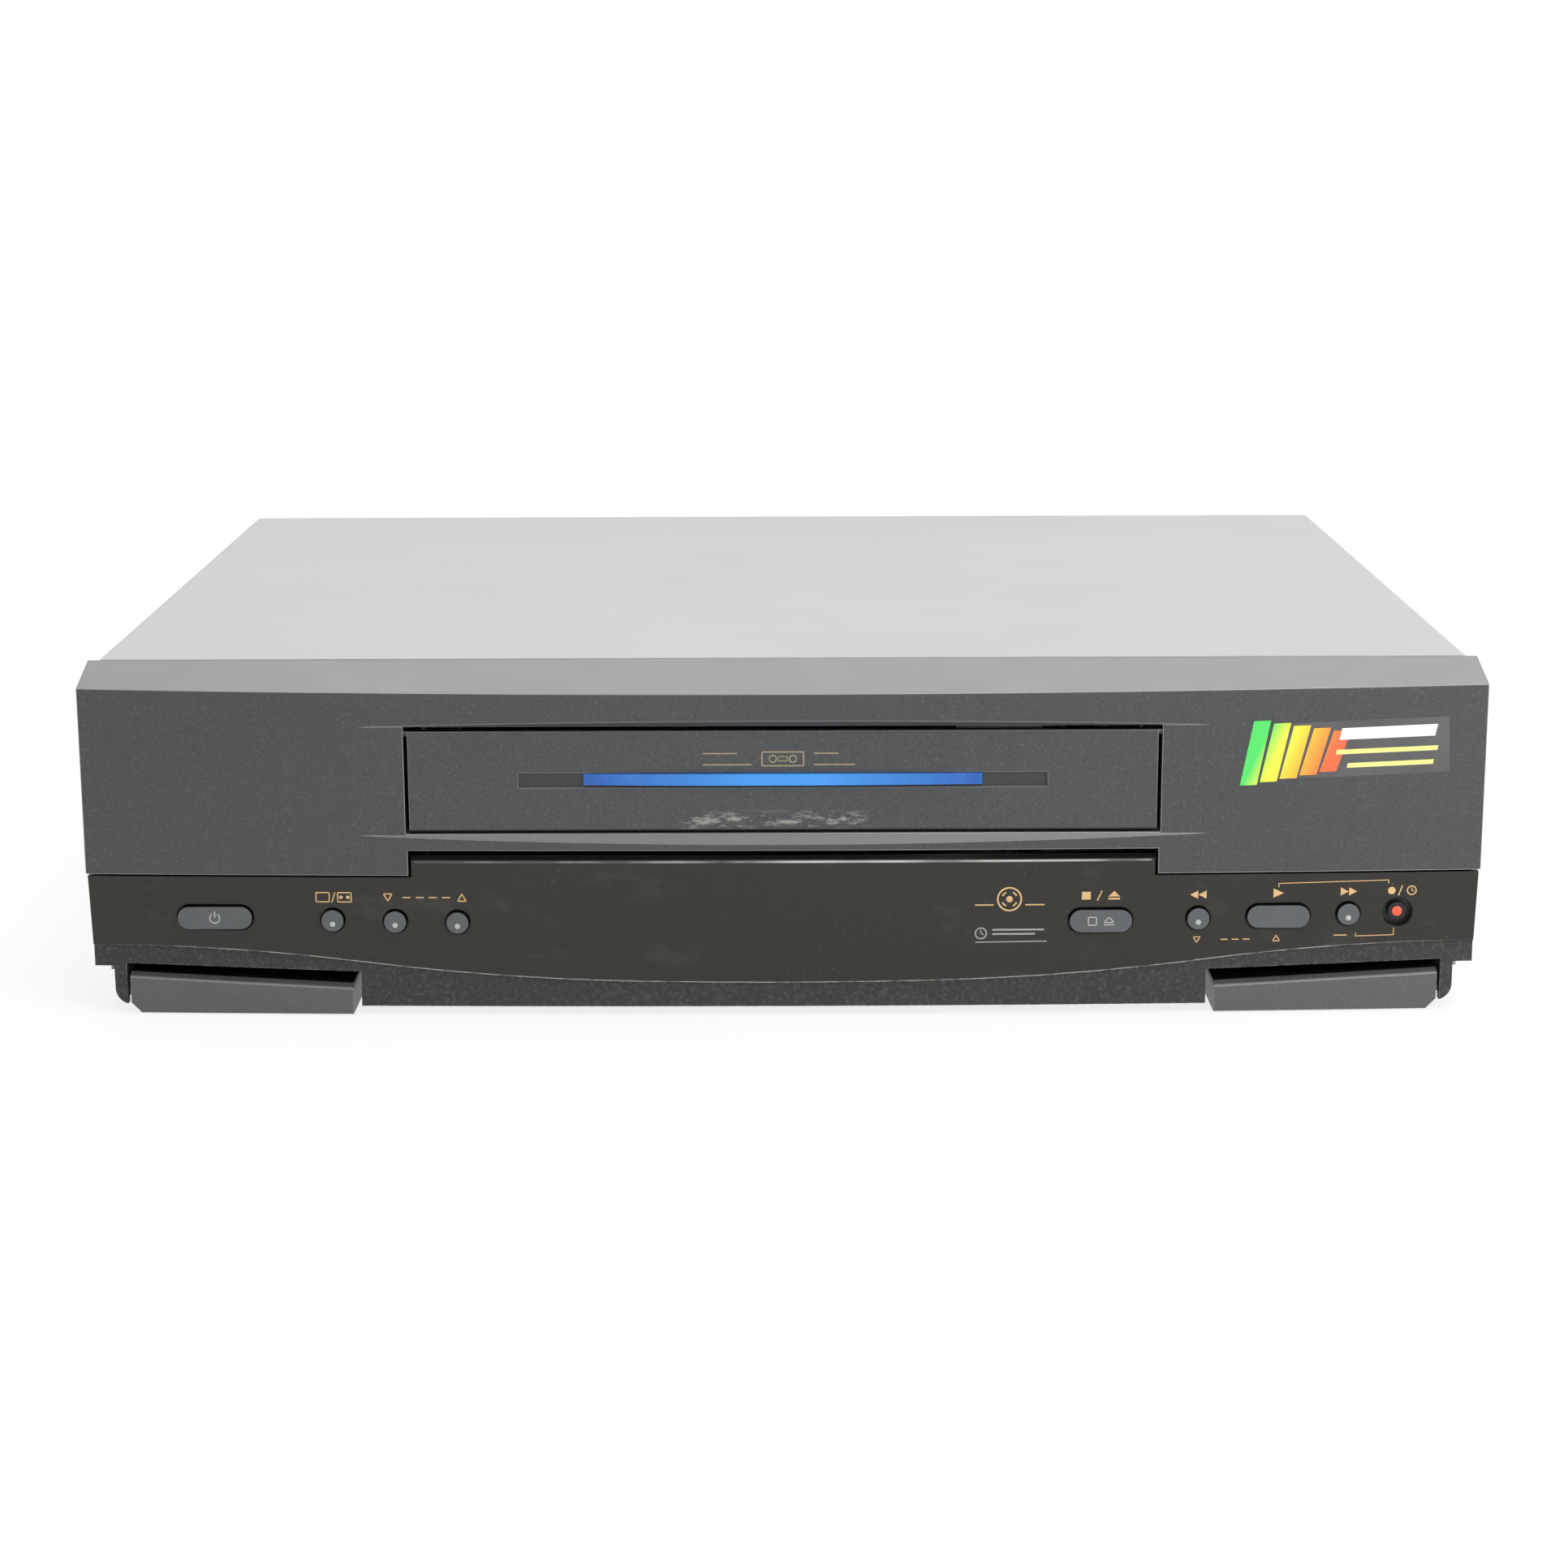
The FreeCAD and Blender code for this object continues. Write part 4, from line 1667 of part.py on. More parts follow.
# Cam gear on its stud, driven by the loading motor's pinion
cam_gear = new_body("cam_gear", dim.cam_x, dim.cam_y, arm_low)
cam_face_low = dim.cam_rise - dim.arm_lift
turn(
    cam_gear,
    [
        (stud_hole, 0),
        (dim.cam_hub, 0),
        (dim.cam_hub, cam_face_low),
        (gear_root(dim.cam_teeth), cam_face_low),
        (gear_root(dim.cam_teeth), cam_face_low + dim.gear_face),
        (stud_hole, cam_face_low + dim.gear_face),
    ],
)
cam_tooth = pad(cam_gear, "XY", cam_face_low, cam_face_low + dim.gear_face, tooth(dim.cam_teeth))
ring(cam_gear, cam_tooth, "Z", dim.cam_teeth)

centre_distance = (dim.cam_teeth + dim.pinion_teeth) * dim.gear_module / 2
motor_x = dim.cam_x + centre_distance * cosine(dim.motor_bearing)
motor_y = dim.cam_y + centre_distance * sine(dim.motor_bearing)
loading_motor = new_body("loading_motor", motor_x, motor_y, deck_top)
motor_flat = dim.motor_radius / 2
pad(
    loading_motor, "XY", 0, dim.motor_height,
    [
        (-dim.motor_radius, -motor_flat),
        (-motor_flat, -dim.motor_radius),
        (motor_flat, -dim.motor_radius),
        (dim.motor_radius, -motor_flat),
        (dim.motor_radius, motor_flat),
        (motor_flat, dim.motor_radius),
        (-motor_flat, dim.motor_radius),
        (-dim.motor_radius, motor_flat),
    ],
)
pad(loading_motor, "XY", dim.motor_height, dim.cam_rise + dim.gear_face, Disc(0, 0, dim.roller_pin))
loading_pinion = new_body("loading_pinion", motor_x, motor_y, deck_top + dim.cam_rise)
pad(loading_pinion, "XY", 0, dim.gear_face, Disc(0, 0, gear_root(dim.pinion_teeth)), Disc(0, 0, pin_bore))
pinion_tooth = pad(loading_pinion, "XY", 0, dim.gear_face, tooth(dim.pinion_teeth))
ring(loading_pinion, pinion_tooth, "Z", dim.pinion_teeth)
# One of the pinion's gaps faces a tooth of the cam gear on the line of centres
facing = dim.motor_bearing * (1 + dim.cam_teeth / dim.pinion_teeth) + 180 - 180 / dim.pinion_teeth
whole_teeth = math.floor(facing.value / (360 / dim.pinion_teeth.value))
lean(loading_pinion, facing - whole_teeth * (360 / dim.pinion_teeth), 0, 0, 1)

# Carriage sides: upright plates with the two L-shaped slots, a foot, a rack rail and the shaft's hole
side_inner = dim.cassette_width / 2 + dim.cassette_play + dim.holder_sheet + dim.holder_gap
side_outer = side_inner + dim.side_sheet
rack_inner = side_outer + dim.rack_gap
rack_outer = rack_inner + dim.rack_sheet
shoe_reach = rack_outer + dim.shoe_end
slot_half = dim.shoe_half + dim.running_gap
shoes = (
    (-dim.front_shoe_reach, as_size(dim.front_shoe_height)),
    (-dim.back_shoe_reach, as_size(dim.back_shoe_height)),
)
shaft_y = -dim.shaft_reach
shaft_z = dim.rack_pitch_height + dim.sync_teeth * dim.gear_module / 2
rail_top = dim.rack_bottom - dim.small_gap
rail_inner = side_outer - dim.side_sheet / 2


def corner_slot(shoe_y, shoe_z):
    """The L-shaped path of one shoe: drawn in from the front, then straight down."""
    front = shoe_y - dim.draw_travel - slot_half
    bottom = shoe_z - dim.lift_travel - slot_half
    return [
        (front, shoe_z - slot_half),
        (shoe_y - slot_half, shoe_z - slot_half),
        (shoe_y - slot_half, bottom),
        (shoe_y + slot_half, bottom),
        (shoe_y + slot_half, shoe_z + slot_half),
        (front, shoe_z + slot_half),
    ]


def across(side, inner, outer):
    """Two distances from the middle, as low and high places on the left or the right."""
    return (inner, outer) if side > 0 else (-outer, -inner)


for side, name in ((-1, "carriage_side_left"), (1, "carriage_side_right")):
    plate = new_body(name)
    pad(
        plate, "YZ", *across(side, side_inner, side_outer),
        [
            (-dim.side_front, deck_top),
            (-dim.side_back, deck_top),
            (-dim.side_back, dim.side_back_top),
            (-dim.side_shoulder, dim.side_top),
            (-dim.side_front + dim.side_nose, dim.side_top),
            (-dim.side_front, dim.side_top - dim.side_nose),
        ],
    )
    pad(
        plate, "XY", deck_top, deck_top + dim.side_sheet,
        box(*across(side, rail_inner, side_outer + dim.side_foot), -dim.side_foot_front, -dim.side_back),
    )
    pad(
        plate, "XY", rail_top - dim.side_sheet, rail_top,
        box(*across(side, rail_inner, rack_outer + dim.small_gap), -dim.side_front, -dim.side_back),
    )
    cut(
        plate, "YZ", *across(side, side_inner - 1, side_outer + 1),
        *[corner_slot(y, z) for y, z in shoes],
        Disc(shaft_y, shaft_z, dim.sync_radius + dim.running_gap),
    )

# Carriage bridge: channel that ties the two sides together at the top
carriage_bridge = new_body("carriage_bridge")
bridge_low = dim.side_back_top - dim.bridge_depth
pad(
    carriage_bridge, "YZ", -side_inner, side_inner,
    [
        (-dim.bridge_front, dim.side_back_top),
        (-dim.bridge_front, bridge_low),
        (-dim.bridge_front + dim.side_sheet, bridge_low),
        (-dim.bridge_front + dim.side_sheet, dim.side_back_top - dim.side_sheet),
        (-dim.side_back - dim.side_sheet, dim.side_back_top - dim.side_sheet),
        (-dim.side_back - dim.side_sheet, bridge_low),
        (-dim.side_back, bridge_low),
        (-dim.side_back, dim.side_back_top),
    ],
)

# Lift racks: toothed plates outside the carriage sides, each with an upright slot for each shoe
rack_front = shaft_y - dim.rack_overrun
rack_back = rack_front + dim.draw_travel + 2 * dim.rack_overrun
circular_pitch = dim.gear_module * math.pi
rack_root = dim.rack_pitch_height - dim.gear_module * dim.root_share
rack_tip = dim.rack_pitch_height + dim.gear_module * dim.rack_tip_share
half_tooth = circular_pitch / 4 - dim.tooth_slack / 2
foot_half = half_tooth + dim.gear_module * dim.root_share * tangent(dim.pressure_angle)
tip_half = half_tooth - dim.gear_module * dim.rack_tip_share * tangent(dim.pressure_angle)
first_tooth = shaft_y - circular_pitch / 2
rack_teeth = whole(dim.draw_travel / circular_pitch) + 3
for side, name in ((-1, "rack_left"), (1, "rack_right")):
    rack = new_body(name)
    reach = across(side, rack_inner, rack_outer)
    pad(rack, "YZ", *reach, box(rack_front, rack_back, dim.rack_bottom, rack_root))
    rack_tooth = pad(
        rack, "YZ", *reach,
        [
            (first_tooth - foot_half, rack_root - dim.tooth_sink),
            (first_tooth + foot_half, rack_root - dim.tooth_sink),
            (first_tooth + tip_half, rack_tip),
            (first_tooth - tip_half, rack_tip),
        ],
    )
    row(rack, rack_tooth, "Y", circular_pitch * (rack_teeth - 1), rack_teeth)
    cut(
        rack, "YZ", *across(side, rack_inner - 1, rack_outer + 1),
        *[
            box(y - slot_half, y + slot_half, z - dim.lift_travel - slot_half, z + slot_half)
            for y, z in shoes
        ],
    )

# Cassette holder: top plate, sides, lips under the cassette's edges, and four square shoes
cassette_holder = new_body("cassette_holder")
holder_inner = dim.cassette_width / 2 + dim.cassette_play
holder_outer = holder_inner + dim.holder_sheet
lip_top = dim.insert_level - dim.cassette_play / 4
lip_bottom = lip_top - dim.holder_sheet
holder_under = dim.insert_level + dim.cassette_height + dim.cassette_play / 4
holder_top = holder_under + dim.holder_sheet
pad(
    cassette_holder, "XZ", -dim.holder_front, -dim.holder_back,
    [
        (-holder_outer, lip_bottom),
        (-dim.lip_reach, lip_bottom),
        (-dim.lip_reach, lip_top),
        (-holder_inner, lip_top),
        (-holder_inner, holder_under),
        (holder_inner, holder_under),
        (holder_inner, lip_top),
        (dim.lip_reach, lip_top),
        (dim.lip_reach, lip_bottom),
        (holder_outer, lip_bottom),
        (holder_outer, holder_top),
        (-holder_outer, holder_top),
    ],
)
cut(
    cassette_holder, "XY", holder_under - 1, holder_top,
    *[
        box(
            *across(side, dim.holder_window_inner, dim.holder_window_outer),
            -dim.holder_front + dim.holder_border, -dim.holder_back - dim.holder_border,
        )
        for side in (-1, 1)
    ],
)
for side in (-1, 1):
    pad(
        cassette_holder, "YZ", *across(side, holder_outer, shoe_reach),
        *[square(y, z, dim.shoe_half) for y, z in shoes],
    )

# Synchronising shaft: a rod with a pinion at each end that meshes with the racks
sync_shaft = new_body("sync_shaft", 0, shaft_y, shaft_z)
lean(sync_shaft, 90, -1, 0, 0)
pad(sync_shaft, "YZ", -shoe_reach, shoe_reach, Disc(0, 0, dim.sync_radius))
for side in (-1, 1):
    reach = across(side, rack_inner, rack_outer)
    pad(sync_shaft, "YZ", *reach, Disc(0, 0, gear_root(dim.sync_teeth)))
    sync_tooth = pad(sync_shaft, "YZ", *reach, tooth(dim.sync_teeth))
    ring(sync_shaft, sync_tooth, "X", dim.sync_teeth)


# Check every object and write each piece to its own file
doc.recompute()
problems = []
for thing in doc.Objects:
    if "Invalid" in thing.State or "Error" in thing.State:
        problems.append("%s %s" % (thing.Name, thing.State))
for piece in pieces:
    shape = piece.Shape
    if shape.isNull() or not shape.isValid() or not shape.Solids:
        problems.append("%s has no valid solid" % piece.Label)
if problems:
    raise RuntimeError("\n".join(problems))
for piece in pieces:
    piece.Shape.exportStep("parts/%s.step" % piece.Label)
print("%d pieces written" % len(pieces))
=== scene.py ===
"""Materials, printing, small hardware and the studio for the video cassette recorder, in metres.

X is to the right of the front, Y is to the back and Z is up, with the origin on the floor.
"""
import bpy
import math
import numpy as np
from mathutils import Matrix, Vector


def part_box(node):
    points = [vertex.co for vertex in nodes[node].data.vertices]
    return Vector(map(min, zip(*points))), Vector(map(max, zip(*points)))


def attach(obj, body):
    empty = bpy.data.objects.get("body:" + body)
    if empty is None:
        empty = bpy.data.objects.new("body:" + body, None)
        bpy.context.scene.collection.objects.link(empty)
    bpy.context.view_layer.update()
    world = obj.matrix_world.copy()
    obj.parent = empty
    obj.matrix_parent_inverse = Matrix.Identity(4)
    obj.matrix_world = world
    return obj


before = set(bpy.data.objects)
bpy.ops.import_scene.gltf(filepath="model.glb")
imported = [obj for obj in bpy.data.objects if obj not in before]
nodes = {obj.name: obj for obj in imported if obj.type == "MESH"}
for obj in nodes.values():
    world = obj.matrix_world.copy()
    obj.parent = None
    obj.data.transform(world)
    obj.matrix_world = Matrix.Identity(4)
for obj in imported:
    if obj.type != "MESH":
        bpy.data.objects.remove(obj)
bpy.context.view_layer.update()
MM = 0.001

# Places read from the frame
panel_low, panel_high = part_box("front_panel")
control_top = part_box("control_panel")[1][2]
door_low, door_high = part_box("cassette_door")
cover_low, cover_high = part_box("top_cover")
rear_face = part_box("rear_panel")[1][1]
antenna_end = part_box("tuner_can")[1][1]

# The front's bow: an arc through the middle and both ends of the silver panel
PANEL_HALF = panel_high[0]
FRONT = panel_low[1]
BOW_DROP = 4.4 * MM
BOW_RADIUS = (PANEL_HALF ** 2 + BOW_DROP ** 2) / (2 * BOW_DROP)
CONTROL_SETBACK = 0.3 * MM
PRINT_HEIGHT = 0.04 * MM


def bow(x, setback=0.0):
    """Depth of the bowed front at x: the arc's centre less the root of radius squared less x squared."""
    return FRONT + setback + BOW_RADIUS - np.sqrt(BOW_RADIUS ** 2 - np.asarray(x) ** 2)


def linear(red, green, blue):
    """A colour read in steps of 255, as the linear value that a shader takes."""
    shares = np.array((red, green, blue)) / 255
    low = shares / 12.92
    high = ((shares + 0.055) / 1.055) ** 2.4
    return tuple(float(share) for share in np.where(shares > 0.04045, high, low)) + (1.0,)


def darker(colour, share):
    """A colour with each of its parts brought down to a share."""
    return tuple(share * part for part in colour[:3]) + (1.0,)


class Finish:
    """A node material that is built up in layers over one Principled shader."""

    def __init__(self, name, colour, roughness, metallic=0.0, coat=0.0, coat_roughness=0.1, ior=1.45):
        self.material = bpy.data.materials.new(name)
        self.material.use_nodes = True
        self.tree = self.material.node_tree
        self.shader = self.tree.nodes["Principled BSDF"]
        self.colour = colour
        self.shader.inputs["Base Color"].default_value = colour
        self.shader.inputs["Roughness"].default_value = roughness
        self.shader.inputs["Metallic"].default_value = metallic
        self.shader.inputs["Coat Weight"].default_value = coat
        self.shader.inputs["Coat Roughness"].default_value = coat_roughness
        self.shader.inputs["IOR"].default_value = ior
        self.material.diffuse_color = colour
        coordinates = self.tree.nodes.new("ShaderNodeTexCoord")
        self.place = coordinates.outputs["Object"]
        self.facing = coordinates.outputs["Normal"]
        self.colour_source = None
        self.height_source = None

    def node(self, kind, **inputs):
        """A shader node with its inputs fed; an underscore in a name stands for a space."""
        made = self.tree.nodes.new(kind)
        for name, value in inputs.items():
            self.feed(made.inputs[name.replace("_", " ")], value)
        return made

    def feed(self, socket, value):
        """Link a socket to another one, or set it to a value."""
        if isinstance(value, bpy.types.NodeSocket):
            self.tree.links.new(value, socket)
        else:
            socket.default_value = value

    def placed(self, stretch=(1, 1, 1), turn=0.0):
        """The object's coordinates, stretched along the axes and turned about the upright axis."""
        mapping = self.node("ShaderNodeMapping", Vector=self.place, Scale=stretch)
        mapping.inputs["Rotation"].default_value[2] = turn
        return mapping.outputs["Vector"]

    def noise(self, scale, detail=3.0, rough=0.55, stretch=(1, 1, 1), turn=0.0):
        """Cloudy noise from 0 to 1, at so many cycles per metre."""
        made = self.node("ShaderNodeTexNoise", Vector=self.placed(stretch, turn), Scale=scale)
        made.inputs["Detail"].default_value = detail
        made.inputs["Roughness"].default_value = rough
        return made.outputs["Fac"]

    def cells(self, scale, stretch=(1, 1, 1), randomness=1.0):
        """Distance to the nearest of scattered points, at so many points per metre."""
        made = self.node("ShaderNodeTexVoronoi", Vector=self.placed(stretch), Scale=scale)
        made.inputs["Randomness"].default_value = randomness
        return made.outputs["Distance"]

    def spread(self, value, low, high, to_low=0.0, to_high=1.0):
        """A value between two marks, spread over another range and held there."""
        made = self.node("ShaderNodeMapRange", Value=value)
        for name, number in (("From Min", low), ("From Max", high), ("To Min", to_low), ("To Max", to_high)):
            self.feed(made.inputs[name], number)
        return made.outputs["Result"]

    def maths(self, operation, first, second=0.0):
        """One sum on two numbers or sockets."""
        made = self.tree.nodes.new("ShaderNodeMath")
        made.operation = operation
        self.feed(made.inputs[0], first)
        self.feed(made.inputs[1], second)
        return made.outputs["Value"]

    def both(self, first, second):
        """The product of two values, such as masks that overlap or a mask and its strength."""
        return self.maths("MULTIPLY", first, second)

    def axis(self, name):
        """One of the object's coordinates."""
        return self.node("ShaderNodeSeparateXYZ", Vector=self.place).outputs[name]

    def strip(self, axis, start, end, soft):
        """A mask that is 1 between two places on an axis and fades out over a soft border."""
        place = self.axis(axis)
        rise = self.spread(place, start - soft, start + soft)
        fall = self.spread(place, end - soft, end + soft, 1.0, 0.0)
        return self.both(rise, fall)

    def window(self, left, right, low, high, soft, up="Z"):
        """A mask that is 1 in a rectangle: between two places on X and two on another axis."""
        return self.both(self.strip("X", left, right, soft), self.strip(up, low, high, soft))

    def tint(self, colour, share):
        """Lay a colour over the base where the share is 1."""
        mix = self.tree.nodes.new("ShaderNodeMix")
        mix.data_type = "RGBA"
        self.feed(mix.inputs["Factor"], share)
        base = self.colour if self.colour_source is None else self.colour_source
        self.feed(mix.inputs[6], base)
        self.feed(mix.inputs[7], colour)
        self.colour_source = mix.outputs[2]
        self.feed(self.shader.inputs["Base Color"], self.colour_source)

    def gloss(self, share, low, high):
        """Roughness that runs from low to high with the share."""
        self.feed(self.shader.inputs["Roughness"], self.spread(share, 0.0, 1.0, low, high))

    def relief(self, height, depth, strength=1.0):
        """Raise the surface by the height, which runs from 0 to 1, times the depth in metres."""
        bump = self.node("ShaderNodeBump", Height=height, Distance=depth, Strength=strength)
        if self.height_source is not None:
            self.feed(bump.inputs["Normal"], self.height_source)
        self.height_source = bump.outputs["Normal"]
        self.feed(self.shader.inputs["Normal"], self.height_source)

    def edges(self, radius):
        """A mask that is 1 on edges: 1 less the cosine between the rounded and the flat normal."""
        bevel = self.node("ShaderNodeBevel", Radius=radius)
        bevel.samples = 8
        flat = self.tree.nodes.new("ShaderNodeNewGeometry")
        cosine = self.tree.nodes.new("ShaderNodeVectorMath")
        cosine.operation = "DOT_PRODUCT"
        self.feed(cosine.inputs[0], bevel.outputs["Normal"])
        self.feed(cosine.inputs[1], flat.outputs["True Normal"])
        turned_away = self.maths("SUBTRACT", 1.0, cosine.outputs["Value"])
        return self.spread(turned_away, 0.01, 0.06)

    def toward(self, axis):
        """How far the surface faces along an axis, from -1 to 1."""
        return self.node("ShaderNodeSeparateXYZ", Vector=self.facing).outputs[axis]

    def upward(self, low, high):
        """A mask that rises from 0 to 1 as the surface turns to face up."""
        return self.spread(self.toward("Z"), low, high)

    def behind_front(self, start, end):
        """A mask that rises behind the bowed front: y less the bow's drop, which goes with x squared."""
        across = self.axis("X")
        drop = self.both(self.both(across, across), BOW_DROP / PANEL_HALF ** 2)
        return self.spread(self.maths("SUBTRACT", self.axis("Y"), drop), FRONT + start, FRONT + end)

    def soft_edges(self, radius):
        """Round the look of sharp edges."""
        bevel = self.node("ShaderNodeBevel", Radius=radius)
        bevel.samples = 4
        self.height_source = bevel.outputs["Normal"]
        self.feed(self.shader.inputs["Normal"], self.height_source)


def flecked_plastic(name, colour, fleck, edge, wear=0.9):
    """Grey plastic with fine metallic flecks, cloudy wear, a soft grain, painted highlight on faces that
    look up, and pale edges that are part wear, part painted highlight.
    """
    finish = Finish(name, colour, 0.42, metallic=0.25, coat=0.15, coat_roughness=0.3)
    finish.soft_edges(edge)
    fine = finish.noise(5200, 1.0)
    finish.tint(fleck, finish.spread(fine, 0.60, 0.80, 0.0, 0.5))
    clouds = finish.noise(9, 4.0)
    finish.tint(darker(colour, 0.82), finish.spread(clouds, 0.35, 0.75, 0.0, 0.5))
    specks = finish.cells(260)
    finish.tint(linear(150, 150, 150), finish.spread(specks, 0.025, 0.045, 0.35, 0.0))
    coarse = finish.noise(1500, 3.0, 0.7)
    finish.tint(linear(104, 106, 108), finish.spread(coarse, 0.56, 0.72, 0.0, 0.45))
    finish.tint(linear(44, 45, 46), finish.spread(coarse, 0.28, 0.44, 0.45, 0.0))
    # Painted highlight: lighter where the surface faces up, as on the brow and the ledge under the door,
    # where the light from above falls.
    finish.tint(linear(109, 109, 111), finish.upward(0.12, 0.62))
    # Pale edges: part wear, part painted highlight along ridges and rounded edges; the wear argument sets
    # how strong they are.
    wear_and_highlight = finish.spread(clouds, 0.3, 0.7, 0.45 * wear, wear)
    finish.tint(linear(178, 180, 183), finish.both(finish.edges(0.45 * MM), wear_and_highlight))
    finish.gloss(finish.noise(60, 4.0), 0.36, 0.5)
    finish.relief(finish.noise(2600, 2.0), 0.03 * MM, 0.4)
    return finish


SILVER = linear(66, 68, 69)
FLECK = linear(128, 132, 134)
silver = flecked_plastic("silver_panel", SILVER, FLECK, 0.9 * MM)
door_finish = flecked_plastic("silver_door", SILVER, FLECK, 0.25 * MM, 0.35)
foot_finish = flecked_plastic("silver_feet", linear(90, 88, 90), linear(130, 132, 134), 0.5 * MM, 0.4)

REBATE_END = 181 * MM
SCUFF_LEFT, SCUFF_RIGHT = -27 * MM, 22 * MM
SCUFF_LOW, SCUFF_HIGH = 53.2 * MM, 56.5 * MM
SLOT_HALF = 72 * MM
SLOT_DEPTH = 0.8 * MM


def add_painted_gap_shade(finish):
    """Painted shade: near black behind the foot's front face, where it goes into the rebate of the skirt."""
    out = finish.maths("ABSOLUTE", finish.axis("X"))
    inside = finish.spread(out, REBATE_END, REBATE_END + 1 * MM, 1.0, 0.0)
    finish.tint(linear(12, 12, 13), finish.both(inside, finish.behind_front(0.3 * MM, 0.8 * MM)))


add_painted_gap_shade(foot_finish)


def add_scuffs(finish):
    """Pale scratches low on the door, where cassettes rub it."""
    rubbed = finish.window(SCUFF_LEFT, SCUFF_RIGHT, SCUFF_LOW, SCUFF_HIGH, 1.6 * MM)
    streaks = finish.noise(260, 6.0, 0.7, (1.0, 1.0, 3.2))
    finish.tint(linear(150, 148, 142), finish.both(rubbed, finish.spread(streaks, 0.50, 0.62)))


add_scuffs(door_finish)


def add_painted_rim_shadow(finish, rim=0.4 * MM, soft=0.1 * MM):
    """Painted shadow: black on the outermost edge of the door, which rolls away into the gap round it."""
    face = finish.window(door_low[0] + rim, door_high[0] - rim, door_low[2] + rim, door_high[2] - rim, soft)
    finish.tint(linear(6, 6, 6), finish.maths("SUBTRACT", 1.0, face))


add_painted_rim_shadow(door_finish)


def add_slot_shade(finish):
    """A darker floor in the shallow slot, at both ends of the blue bar."""
    depth = door_low[1] + SLOT_DEPTH
    slot_floor = finish.window(-SLOT_HALF, SLOT_HALF, depth - 0.2 * MM, depth + 0.2 * MM, 0.1 * MM, up="Y")
    finish.tint(linear(48, 48, 49), finish.both(slot_floor, 0.65))


add_slot_shade(door_finish)


def add_dark_sides(finish):
    """Near black on the sides of the keys, which stand in the shade of their holes."""
    aside = finish.spread(finish.maths("ABSOLUTE", finish.toward("Y")), 0.35, 0.65, 1.0, 0.0)
    finish.tint(linear(14, 14, 14), aside)


def cover_paint():
    """Satin grey paint on steel, with a fine orange peel, faint hairlines, a few specks and rubbed edges."""
    finish = Finish("cover_paint", linear(164, 162, 165), 0.38, coat=0.25, coat_roughness=0.35)
    finish.soft_edges(0.4 * MM)
    clouds = finish.noise(5, 3.0)
    finish.tint(linear(156, 154, 157), finish.spread(clouds, 0.35, 0.7, 0.0, 0.7))
    hairs = finish.noise(140, 5.0, 0.6, (0.12, 1.6, 1.0), 0.5)
    finish.tint(linear(140, 139, 142), finish.spread(hairs, 0.66, 0.72, 0.0, 0.35))
    specks = finish.cells(75)
    finish.tint(linear(112, 110, 108), finish.spread(specks, 0.02, 0.035, 0.5, 0.0))
    rubbed = finish.both(finish.edges(0.5 * MM), finish.spread(finish.noise(70, 4.0), 0.45, 0.65))
    finish.tint(linear(196, 195, 198), finish.both(rubbed, 0.6))
    finish.gloss(finish.noise(22, 4.0), 0.34, 0.46)
    finish.relief(finish.noise(1400, 2.0), 0.025 * MM, 0.5)
    return finish


LOWER_EDGE_Z = 19 * MM


def control_gloss():
    """Dark glossy plastic with smears, dust, a painted shadow as a black band at the top, a painted
    highlight line under it, and a lower edge that is part wear, part painted highlight.
    """
    finish = Finish("control_gloss", linear(30, 28, 21), 0.2, coat=0.2, coat_roughness=0.08)
    finish.shader.inputs["Specular IOR Level"].default_value = 0.42
    finish.soft_edges(0.3 * MM)
    dust = finish.spread(finish.cells(420), 0.05, 0.09, 0.8, 0.0)
    finish.tint(linear(140, 136, 128), finish.both(dust, finish.spread(finish.noise(14, 3.0), 0.5, 0.72)))
    smear = finish.noise(34, 6.0, 0.7, (1.0, 1.0, 2.2))
    finish.tint(linear(74, 70, 64), finish.spread(smear, 0.56, 0.78, 0.0, 0.5))
    scratched = finish.window(-72 * MM, -56 * MM, 35 * MM, 43 * MM, 5 * MM)
    torn = finish.spread(finish.noise(620, 5.0, 0.8), 0.58, 0.7, 0.0, 0.6)
    finish.tint(linear(116, 112, 104), finish.both(scratched, torn))
    # Painted shadow: a black band with no diffuse light just under the top edge, where the gap under the
    # silver ledge lies in shade.
    rim = finish.spread(finish.axis("Z"), control_top - 1.5 * MM, control_top - 1.2 * MM)
    finish.tint(linear(0, 0, 0), rim)
    finish.feed(finish.shader.inputs["Metallic"], rim)
    # Painted highlight: a broken pale line along the top edge, under the black band.
    line = finish.window(-100 * MM, 100 * MM, control_top - 2.1 * MM, control_top - 1.6 * MM, 0.15 * MM)
    broken = finish.spread(finish.noise(26, 3.0), 0.42, 0.62, 0.1, 0.9)
    finish.tint(linear(205, 203, 200), finish.both(line, broken))
    # Pale lower edge: part wear, part painted highlight.
    low = finish.spread(finish.axis("Z"), LOWER_EDGE_Z, LOWER_EDGE_Z + 1 * MM, 1.0, 0.0)
    wear_and_highlight = finish.both(finish.edges(0.6 * MM), finish.spread(finish.noise(180, 4.0), 0.36, 0.5, 0.3, 1.0))
    finish.tint(linear(172, 170, 165), finish.both(low, wear_and_highlight))
    finish.gloss(finish.spread(smear, 0.35, 0.8), 0.14, 0.42)
    return finish


